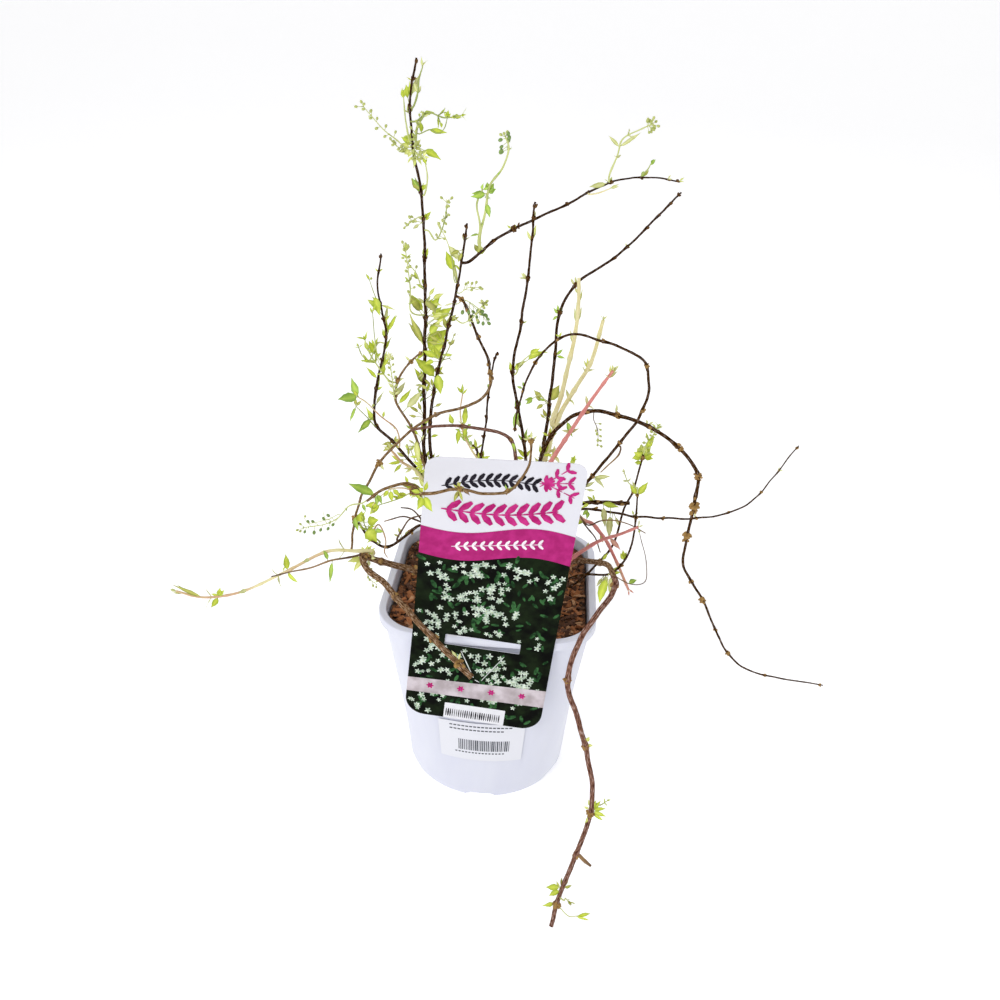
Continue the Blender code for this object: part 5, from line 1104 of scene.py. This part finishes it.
def add_pair(tint, point, heading, roll, size, draw, spread=(0.5, 1.1)):
    """Two opposite leaves at a node."""
    frame = aligned(heading, roll)
    for side in (1, -1):
        out = (frame @ Vector((side, 0, draw.uniform(*spread)))).normalized()
        add_leaf(tint, point, out, heading, size * draw.uniform(0.8, 1.1), draw)


def add_tuft(draw, stem, distance, lean, fan, count, length, width, tint, stalk=0.3):
    """Short-stalked young leaves that fan out from a knot, turned towards the light at the front."""
    distance = min(distance * MM, stem.length)
    for index in range(count):
        spread = 2 * index / (count - 1) - 1 if count > 1 else 0
        turn = math.radians(lean + fan * spread + draw.uniform(-6, 6))
        out = fan_out(turn, draw.uniform(-0.05, 0.45)).normalized()
        knot = stem.at(max(0, distance - draw.uniform(0, 1.2) * MM))
        size = length * MM * (1 - 0.22 * abs(spread)) * draw.uniform(0.85, 1.1)
        base = knot + out * (stem.radius(distance) + stalk * MM)
        add_stalk(knot, base + out * 0.08 * size, 0.55 * MM)
        face = FRONT_OUT + Vector([draw.uniform(-0.5, 0.5) for _ in range(3)])
        add_leaf(tint, base, out, face.normalized(), size, draw, width)


def grow_spray(name, stem, leaf, habit, tint):
    """A spray's stem, with leaves in crossed pairs, twiglets at every other node, and buds at its tip."""
    draw = random.Random(name)
    ways = HABIT[habit]
    gap, turn = ways["node_gap"] * MM, draw.uniform(0, math.pi)
    twig_meshes[ways["tone"]].append(stem_tube(name, stem, 8, knot_places(stem, gap), 0.3, 0))
    nodes = max(1, int(stem.length / gap))
    for index in range(1, nodes + 1):
        distance = min(index * gap, stem.length - 0.6 * MM)
        point, heading = stem.at(distance), stem.heading(distance)
        size = leaf * MM * (1.05 - 0.25 * index / nodes)
        add_pair(tint, point, heading, turn + index * math.pi / 2, size, draw)
        if index % 2 == 0 and habit in ("leafy", "budded"):
            for side in (1, -1):
                out = (aligned(heading, turn + index * math.pi / 2) @ Vector((side, 0, 1.0))).normalized()
                tip = point + out * size * 0.5
                add_stalk(point, tip, 0.7 * MM)
                add_pair(tint, tip, out, draw.uniform(0, 3), size * 0.5, draw, (1.0, 2.0))
    tip, heading = stem.at(stem.length), stem.heading(stem.length)
    add_pair(tint, tip, heading, turn, leaf * MM * 0.6, draw, (1.4, 2.4))
    add_pair(tint, tip, heading, turn + math.pi / 2, leaf * MM * 0.35, draw, (2.0, 3.0))
    add_buds(tip, heading, ways["tip_buds"], draw)


for name, (parent, share, route, thick, leaf, habit, tint) in SPRAYS.items():
    stems[name] = Stem(*stems[parent].seat(share, Vector(route[0]) * MM), route, thick, thick * 0.55)
    grow_spray(name, stems[name], leaf, habit, tint)
    finish_stem()
for name, (parent, distance, route, thick, tone) in SHOOTS.items():
    share = min(0.995, distance * MM / stems[parent].length)
    stem = Stem(*stems[parent].seat(share, Vector(route[0]) * MM), route, thick, thick * 0.6, run=1.5 * MM)
    stems[name] = stem
    sides = 10 if thick > 2 else 6
    knots = knot_places(stem, 15 * MM)
    twig_meshes[tone].append(stem_tube(name, stem, sides, knots, 0.22, 0, zigzag=0.3 * MM))
    add_buds(stem.at(stem.length), stem.heading(stem.length), TIP_BUDS.get(name, 0), random.Random(name))
    finish_stem()
for name, tufts in TUFTS.items():
    draw = random.Random(name + " tufts")
    for distance, lean, *leaves in tufts:
        alone = isinstance(leaves[2], str)
        add_tuft(draw, stems[name], distance, lean, *((0, 1) if alone else ()), *leaves)
    finish_stem()
for name, raceme in RACEMES.items():
    tone = "green" if name in GREEN_RACEMES else "pale"
    add_raceme(stems[name], tone, random.Random(name + " buds"), *raceme)
    finish_stem()

LEAF_TINTS = {"lime": ("#9DB41E", "#DCE850"), "green": ("#6E9A2C", "#BEDC58"),
              "olive": ("#8A9230", "#CFD066"), "pale": ("#B5BC62", "#E8EAAA"),
              "yellow": ("#BAC63C", "#EEF29A"), "pink": ("#B8655F", "#EDB49C"),
              "brown": ("#6B4A30", "#A98A5C")}
for tint, (deep, light) in LEAF_TINTS.items():
    # Young leaf: soft, thin and hairy, half matt, brighter where it is youngest
    blade, shader = new_material(tint + "_young_leaf", light, 0.5, Sheen_Weight=0.1, Subsurface_Weight=0.08)
    shader.inputs["Subsurface Radius"].default_value = (0.001, 0.0015, 0.0004)
    place = add_node(blade, "ShaderNodeTexCoord")
    patch = add_node(blade, "ShaderNodeTexNoise", {"Vector": place.outputs["Object"], "Scale": 130.0})
    split = add_node(blade, "ShaderNodeSeparateXYZ", {"Vector": place.outputs["UV"]})
    offset = add_node(blade, "ShaderNodeMath", {0: split.outputs["X"], 1: 0.5}, operation="SUBTRACT")
    rim = add_node(blade, "ShaderNodeMath", {0: offset.outputs["Value"]}, operation="ABSOLUTE")
    # The margin is a shade darker than the blade, and the midrib runs paler down its middle
    margin = add_node(blade, "ShaderNodeMapRange", {"Value": rim.outputs["Value"], "From Min": 0.04,
                                                    "From Max": 0.5, "To Min": 0.42, "To Max": -0.38})
    blend = add_node(blade, "ShaderNodeMath", {0: margin.outputs["Result"], 1: patch.outputs["Fac"]},
                     operation="ADD", use_clamp=True)
    tone = add_node(blade, "ShaderNodeMix", {"Factor": blend.outputs["Value"], "A": linear(deep),
                                             "B": linear(light)}, data_type="RGBA")
    link(blade, tone.outputs["Result"], shader, "Base Color")
    leaves = add_piece(tint + "_leaves", join_meshes(tint + "_leaves", grown[tint]), blade)
    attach(leaves, "root")
    if tint == "lime":
        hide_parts(*(name for name in SPRAYS if SPRAYS[name][5] in ("leafy", "budded")))

twig_meshes["green"] += grown["stalk"]
STEM_TONES = {"green": ("#B4BE66", "#DDE2A0", "#8A9A48"), "pale": ("#D9CB86", "#F6F0C2", "#D0A07E"),
              "pink": ("#CC6A66", "#EDA49A", "#E6D0A0"), "brown": ("#2E1A0E", "#75522F", "#A07C4C")}
for tone, (deep, light, flush) in STEM_TONES.items():
    # Young stem: smooth and faintly hairy while green, dull and corky once it browns
    skin, shader = new_material(tone + "_young_stem", light, 0.5, Subsurface_Weight=0.1)
    shader.inputs["Subsurface Radius"].default_value = (0.001, 0.0008, 0.0004)
    place = add_node(skin, "ShaderNodeTexCoord")
    wash = add_node(skin, "ShaderNodeTexNoise", {"Vector": place.outputs["Object"], "Scale": 110.0,
                                                 "Detail": 3.0})
    blend = add_node(skin, "ShaderNodeMix", {"Factor": wash.outputs["Fac"], "A": linear(deep),
                                             "B": linear(light)}, data_type="RGBA")
    # A flush of warmer colour drifts over it here and there
    drift = add_node(skin, "ShaderNodeTexNoise", {"Vector": place.outputs["Object"], "Scale": 26.0,
                                                  "Detail": 1.0})
    reach = add_node(skin, "ShaderNodeMapRange", {"Value": drift.outputs["Fac"], "From Min": 0.5,
                                                  "From Max": 0.62, "To Max": 0.8})
    blush = add_node(skin, "ShaderNodeMix", {"Factor": reach.outputs["Result"], "A": blend.outputs["Result"],
                                             "B": linear(flush)}, data_type="RGBA")
    link(skin, blush.outputs["Result"], shader, "Base Color")
    twigs = add_piece(tone + "_stems", join_meshes(tone + "_stems", twig_meshes[tone]), skin)
    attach(twigs, "root")
    if tone == "pale":
        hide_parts("pale_shoot_left", "pale_shoot_tall")
    if tone == "pink":
        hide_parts("pink_shoot_side")

# Flower buds: tight, round, grey-green with a mealy skin
BUD_TONES = {"pale": ("#8C9C44", "#DCE08E"), "green": ("#4C6E2C", "#9DB868")}
for kind, (deep, light) in BUD_TONES.items():
    bud_skin, shader = new_material(kind + "_mealy_bud", light, 0.7)
    mottle(bud_skin, shader, deep, light, 900.0)
    name = kind + "_flower_buds"
    buds = add_piece(name, join_meshes(name, grown[kind + " bud"]), bud_skin)
    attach(buds, "root")


# Hang card. A printed polypropylene sheet, rounded at its corners, that hooks over the rim by a flap cut
# from its slot. It leans out at the top, and its left top corner curls further forward.

CARD_WIDTH = 90 * MM
CARD_ABOVE = 134 * MM
CARD_BELOW = 66 * MM
CARD_THICK = 0.6 * MM
CARD_TURN = math.radians(5.2)
CARD_FORWARD = 18 * MM
CARD_TWIST = 9 * MM
CARD_FOOT_OUT = 1.5 * MM
CARD_ROUND_TOP = 8 * MM
CARD_ROUND_FOOT = 13 * MM
BEND_CELL = 6 * MM                # widest strip between two bends of a sheet
SLOT_WIDTH = 48 * MM
SLOT_HEIGHT = 7.4 * MM
CARD_PLANE = -RIM_SIDE / 2 - 0.3 * MM - CARD_THICK / 2


def on_card(x, z, lift=0.0):
    """A place on the bent card from its flat place: x across, z up from the rim."""
    turned_x = x * math.cos(CARD_TURN) + z * math.sin(CARD_TURN)
    turned_z = -x * math.sin(CARD_TURN) + z * math.cos(CARD_TURN)
    if turned_z < 0:
        out = CARD_FOOT_OUT * -turned_z / CARD_BELOW
    else:
        out = (CARD_FORWARD - CARD_TWIST * turned_x / (CARD_WIDTH / 2)) * (turned_z / CARD_ABOVE) ** 1.3
    return Vector((turned_x, CARD_PLANE - out - lift, POT_HEIGHT + turned_z))


def outline_points(low_x, low_z, high_x, high_z, low_round, high_round):
    """Corners of a rounded rectangle, ten points to a corner."""
    points = []
    for x, z, radius, begin in ((high_x, high_z, high_round, 0), (low_x, high_z, high_round, 1),
                                (low_x, low_z, low_round, 2), (high_x, low_z, low_round, 3)):
        cx = x - math.copysign(radius, x - (low_x + high_x) / 2)
        cz = z - math.copysign(radius, z - (low_z + high_z) / 2)
        for step in range(10):
            angle = math.pi / 2 * (begin + step / 9)
            points.append((cx + radius * math.cos(angle), cz + radius * math.sin(angle)))
    return points


def flat_patch(outlines, thick, lift):
    """A sheet cut to its outlines, sliced finely enough to bend, and laid on the card."""
    curve = bpy.data.curves.new("patch", "CURVE")
    curve.dimensions, curve.fill_mode, curve.extrude = "2D", "BOTH", thick / 2
    for outline in outlines:
        spline = curve.splines.new("POLY")
        spline.points.add(len(outline) - 1)
        for point, (x, z) in zip(spline.points, outline):
            point.co = (x, z, 0, 1)
        spline.use_cyclic_u = True
    source = bpy.data.objects.new("patch", curve)
    bpy.context.scene.collection.objects.link(source)
    bpy.context.view_layer.update()
    mesh = bpy.data.meshes.new_from_object(source.evaluated_get(bpy.context.evaluated_depsgraph_get()))
    bpy.data.objects.remove(source)
    patch = bmesh.new()
    patch.from_mesh(mesh)
    bmesh.ops.remove_doubles(patch, verts=patch.verts, dist=0.01 * MM)
    for axis, normal in ((0, (1, 0, 0)), (1, (0, 1, 0))):
        low = min(outline[axis] for points in outlines for outline in points)
        high = max(outline[axis] for points in outlines for outline in points)
        for index in range(1, math.ceil((high - low) / BEND_CELL)):
            bmesh.ops.bisect_plane(patch, geom=[*patch.verts, *patch.edges, *patch.faces],
                                   plane_co=Vector(normal) * (low + index * BEND_CELL), plane_no=normal)
    for vertex in patch.verts:
        vertex.co = on_card(vertex.co.x, vertex.co.y, lift + vertex.co.z)
    bmesh.ops.recalc_face_normals(patch, faces=patch.faces)
    return patch


half = CARD_WIDTH / 2
edge = outline_points(-half, -CARD_BELOW, half, CARD_ABOVE, CARD_ROUND_FOOT, CARD_ROUND_TOP)
slot = outline_points(-SLOT_WIDTH / 2, -SLOT_HEIGHT, SLOT_WIDTH / 2, 0.3 * MM, 0.8 * MM, 0.8 * MM)
shape = flat_patch([edge, slot], CARD_THICK, 0)
flap_run = RIM_LEDGE + 1 * MM
bmesh.ops.create_cube(shape, size=1, matrix=Matrix.Translation(
    (0, CARD_PLANE + flap_run / 2, POT_HEIGHT + 0.3 * MM + CARD_THICK / 2)) @ Matrix.Diagonal(
    (SLOT_WIDTH - 2 * MM, flap_run, CARD_THICK, 1)))
# Polypropylene sheet: bluish white, satin, with soft wide reflections
card_sheet, shader = new_material("white_card_sheet", "#E0E0E8", 0.3, IOR=1.49)
roughen(card_sheet, shader, 260.0, 0.05, 0.0005)
card = add_piece("hang_card_sheet", mesh_of(shape, "hang_card_sheet"), card_sheet, smooth=False)
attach(card, "root")
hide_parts("hang_card")


# Card print. Flat colours on the card: a white head with two plain leafy garlands, a wavy magenta ribbon,
# a dark green ground strewn with white blossoms, and a pale strip and a white patch near the foot.

INK_LIFT = CARD_THICK / 2 + 0.1 * MM
RIBBON_TOP, RIBBON_LOW, RIBBON_WAVE = 85 * MM, 64 * MM, 3.5 * MM


def add_ink(name, shape, pale, deep, scale=180.0):
    """A printed colour: glossy ink that wavers a little between two tones."""
    ink, shader = new_material(name + "_ink", pale, 0.5, Specular_IOR_Level=0.05)
    place = add_node(ink, "ShaderNodeTexCoord")
    waver = add_node(ink, "ShaderNodeTexNoise", {"Vector": place.outputs["Object"], "Scale": scale,
                                                 "Detail": 3.0})
    tone = add_node(ink, "ShaderNodeValToRGB", {"Fac": waver.outputs["Fac"]})
    for stop, share, code in zip(tone.color_ramp.elements, (0.38, 0.66), (deep, pale)):
        stop.position, stop.color = share, linear(code)
    link(ink, tone.outputs["Color"], shader, "Base Color")
    piece = add_piece(name, mesh_of(shape, name), ink, smooth=False)
    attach(piece, "root")


def print_lens(shape, x, z, long, wide, turn, lift):
    """A pointed oval, the leaf or petal of the print, laid flat on the card."""
    flat = (Matrix.Translation((x, z, lift)) @ Matrix.Rotation(turn, 4, "Z")
            @ Matrix.Translation((long / 2, 0, 0)) @ Matrix.Diagonal((long / 2, wide / 2, 1, 1)))
    lens = bmesh.ops.create_circle(shape, cap_ends=True, segments=6, radius=1.0, matrix=flat)
    for vertex in lens["verts"]:
        vertex.co = on_card(vertex.co.x, vertex.co.y, vertex.co.z)


def print_garland(shape, begin, end, rise, pairs, leaf):
    """A leafy line of the print: a thin stem with a pair of leaves every step, arched by a rise."""
    for index in range(pairs + 1):
        share = index / pairs
        x = begin[0] + (end[0] - begin[0]) * share
        z = begin[1] + (end[1] - begin[1]) * share + rise * math.sin(math.pi * share)
        way = math.atan2(end[1] - begin[1] + rise * math.pi * math.cos(math.pi * share), end[0] - begin[0])
        step = (end[0] - begin[0]) / pairs * 1.15
        print_lens(shape, x - step / 2, z - step / 2 * math.tan(way), step, leaf * 0.14, way,
                   INK_LIFT + 0.06 * MM)
        for side in (1, -1):
            print_lens(shape, x, z, leaf, leaf * 0.42, way + side * 0.85, INK_LIFT + (0.1 + 0.02 * side) * MM)


def ribbon_line(level):
    """Points from the left to the right edge of the card along the wave of the ribbon."""
    return [(x * MM, level + RIBBON_WAVE * math.sin(math.pi * x / 45)) for x in range(-45, 46, 3)]


shape = flat_patch([ribbon_line(RIBBON_TOP) + ribbon_line(RIBBON_LOW)[::-1]], 0, INK_LIFT + 0.04 * MM)
add_ink("magenta_ribbon", shape, "#BC2F80", "#A8246E")

foot = [point for point in outline_points(-half, -CARD_BELOW, half, CARD_ABOVE, CARD_ROUND_FOOT, 1 * MM)
        if point[1] < 0]
shape = flat_patch([ribbon_line(RIBBON_LOW)[::-1] + foot, slot], 0, INK_LIFT)
add_ink("dark_green_ground", shape, "#16220F", "#030402", 110.0)

draw = random.Random("blossom print")
leaf_print, petal_print, heart_print = bmesh.new(), bmesh.new(), bmesh.new()


def open_ground(x, z, margin):
    """True where a motif stays on the green ground, off the slot and the card's edge."""
    corner = math.hypot(max(0, abs(x) - 32 * MM), max(0, -53 * MM - z))
    in_slot = abs(x) < SLOT_WIDTH / 2 + margin and -SLOT_HEIGHT - margin < z < margin
    top = RIBBON_LOW + RIBBON_WAVE * math.sin(math.pi * x / 45 / MM)
    return abs(x) < half - margin and z < top - margin and corner < CARD_ROUND_FOOT - margin and not in_slot


for _ in range(230):
    x, z, long = draw.uniform(-43, 43) * MM, draw.uniform(-64, 64) * MM, draw.uniform(4, 8) * MM
    if open_ground(x, z, 4 * MM):
        print_lens(leaf_print, x, z, long, long * 0.4, draw.uniform(-3, 3),
                   INK_LIFT + draw.uniform(0.05, 0.08) * MM)
for _ in range(48):
    middle_x, middle_z = draw.uniform(-40, 40) * MM, draw.uniform(-62, 62) * MM
    for _ in range(draw.randint(4, 9)):
        x, z = middle_x + draw.gauss(0, 4) * MM, middle_z + draw.gauss(0, 4) * MM
        size, spin = draw.uniform(1.5, 2.7) * MM, draw.uniform(0, 1.2)
        if open_ground(x, z, size):
            lift = INK_LIFT + draw.uniform(0.12, 0.18) * MM
            for petal in range(5):
                print_lens(petal_print, x, z, size, size * 0.5, spin + petal * math.tau / 5, lift)
            print_lens(heart_print, x - size * 0.13, z, size * 0.26, size * 0.26, 0, lift + 0.03 * MM)
add_ink("green_leaf_print", leaf_print, "#3F7040", "#16331A", 260.0)
add_ink("white_blossom_print", petal_print, "#E4EEE2", "#9FB5A0", 420.0)
add_ink("pale_blossom_hearts", heart_print, "#D6DC9A", "#A9B56A", 300.0)

shape = flat_patch([[(-half, -48 * MM), (half, -46.5 * MM), (half, -33 * MM), (-half, -37 * MM)]], 0,
                   INK_LIFT + 0.24 * MM)
add_ink("pale_strip", shape, "#D3C9CF", "#AFA4A8", 120.0)
patch = outline_points(-19 * MM, -CARD_BELOW + 0.2 * MM, 21 * MM, -53.5 * MM, 0.5 * MM, 0.5 * MM)
shape = flat_patch([patch], 0, INK_LIFT + 0.24 * MM)
add_ink("white_foot_patch", shape, "#E9E9EE", "#E2E2E8")

shape = bmesh.new()
print_garland(shape, (-33 * MM, 115 * MM), (15 * MM, 119 * MM), 3 * MM, 11, 6.5 * MM)
for index in range(26):
    print_lens(shape, (-17.5 + 1.4 * index) * MM, -57.5 * MM, 7 * MM, draw.uniform(0.5, 1.3) * MM,
               -math.pi / 2, INK_LIFT + 0.3 * MM)
add_ink("charcoal_print", shape, "#2A2630", "#1B181F")
shape = bmesh.new()
print_garland(shape, (-31 * MM, 98 * MM), (29 * MM, 101 * MM), -3 * MM, 9, 10.5 * MM)
for index in range(3):
    print_garland(shape, (22 * MM, 120 * MM), ((33 + 2 * index) * MM, (129 - 8 * index) * MM), 0, 2, 6 * MM)
for index in range(4):
    x, z = (-30 + 20 * index) * MM, (-41.5 + 0.6 * index) * MM
    for petal in range(6):
        print_lens(shape, x, z, 2.6 * MM, 1.4 * MM, petal * math.tau / 6, INK_LIFT + 0.3 * MM)
add_ink("magenta_print", shape, "#CF3A8C", "#B21F6E")
shape = bmesh.new()
print_garland(shape, (-24 * MM, 71 * MM), (24 * MM, 77.5 * MM), 0, 10, 4.6 * MM)
add_ink("white_ribbon_print", shape, "#FAF6FA", "#EDE2EC")
shape = bmesh.new()
for begin, end in (((-13.8, -9.4), (-2, -32)), ((-2, -32), (1.6, -33.6)), ((1.6, -33.6), (15.8, -9.2))):
    run, climb = (end[0] - begin[0]) * MM, (end[1] - begin[1]) * MM
    print_lens(shape, begin[0] * MM, begin[1] * MM, math.hypot(run, climb), 0.7 * MM, math.atan2(climb, run),
               INK_LIFT + 0.2 * MM)
add_ink("flap_score_line", shape, "#E9ECEC", "#C9CFCB")


# Pot sticker. A small white paper label that follows the wall under the card, with plain bars and rules
# printed in grey.

STICKER_WIDTH = 56 * MM
STICKER_LOW, STICKER_HIGH = 38 * MM, 73 * MM
STICKER_THICK = 0.4 * MM
STICKER_CLEAR = 0.45 * MM
WALL_RADIUS_THERE = 61.5 * MM


def on_wall(x, z, lift):
    """A place on the front of the wall: x along the wall from the middle, z up from the foot."""
    angle = -math.pi / 2 + x / WALL_RADIUS_THERE
    far = wall_reach(angle, z) + lift
    return Vector((far * math.cos(angle), far * math.sin(angle), z))


shape = bmesh.new()
bmesh.ops.create_grid(shape, x_segments=36, y_segments=6, size=0.5)
for vertex in shape.verts:
    height = STICKER_LOW + (STICKER_HIGH - STICKER_LOW) * (vertex.co.y + 0.5)
    vertex.co = on_wall(STICKER_WIDTH * vertex.co.x, height, STICKER_CLEAR + STICKER_THICK)
bmesh.ops.solidify(shape, geom=shape.faces, thickness=STICKER_THICK)
bmesh.ops.recalc_face_normals(shape, faces=shape.faces)
# Label paper: plain white, matt, with the faint tooth of its fibres
label_paper, shader = new_material("white_label_paper", "#E2E3EA", 0.6)
roughen(label_paper, shader, 1200.0, 0.1, 0.0003)
sticker = add_piece("pot_sticker_paper", mesh_of(shape, "pot_sticker_paper"), label_paper, smooth=False)
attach(sticker, "root")
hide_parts("pot_sticker")

draw = random.Random("sticker bars")
shape = bmesh.new()
# Bars: middle from the left, lower and upper edge, and width, in millimetres
bars = [(-15 + 1.25 * index, 47, 57, draw.uniform(0.35, 0.95)) for index in range(28)]
bars += [(-17 + 2.3 * index, 44.2, 45.3, 1.4) for index in range(15)]
bars += [(-20 + 2.6 * index, 69.2, 70.3, 1.9) for index in range(16)]
bars += [(-20 + 2.6 * index, 65.8, 66.9, 1.9) for index in range(14)]
for x, low_z, high_z, wide in bars:
    bar = bmesh.ops.create_grid(shape, x_segments=1, y_segments=1, size=0.5)
    for vertex in bar["verts"]:
        height = (low_z + (high_z - low_z) * (vertex.co.y + 0.5)) * MM
        vertex.co = on_wall((x + vertex.co.x * wide) * MM, height, STICKER_CLEAR + STICKER_THICK + 0.1 * MM)
add_ink("sticker_bars", shape, "#5C5F68", "#474A52")

bpy.context.view_layer.update()
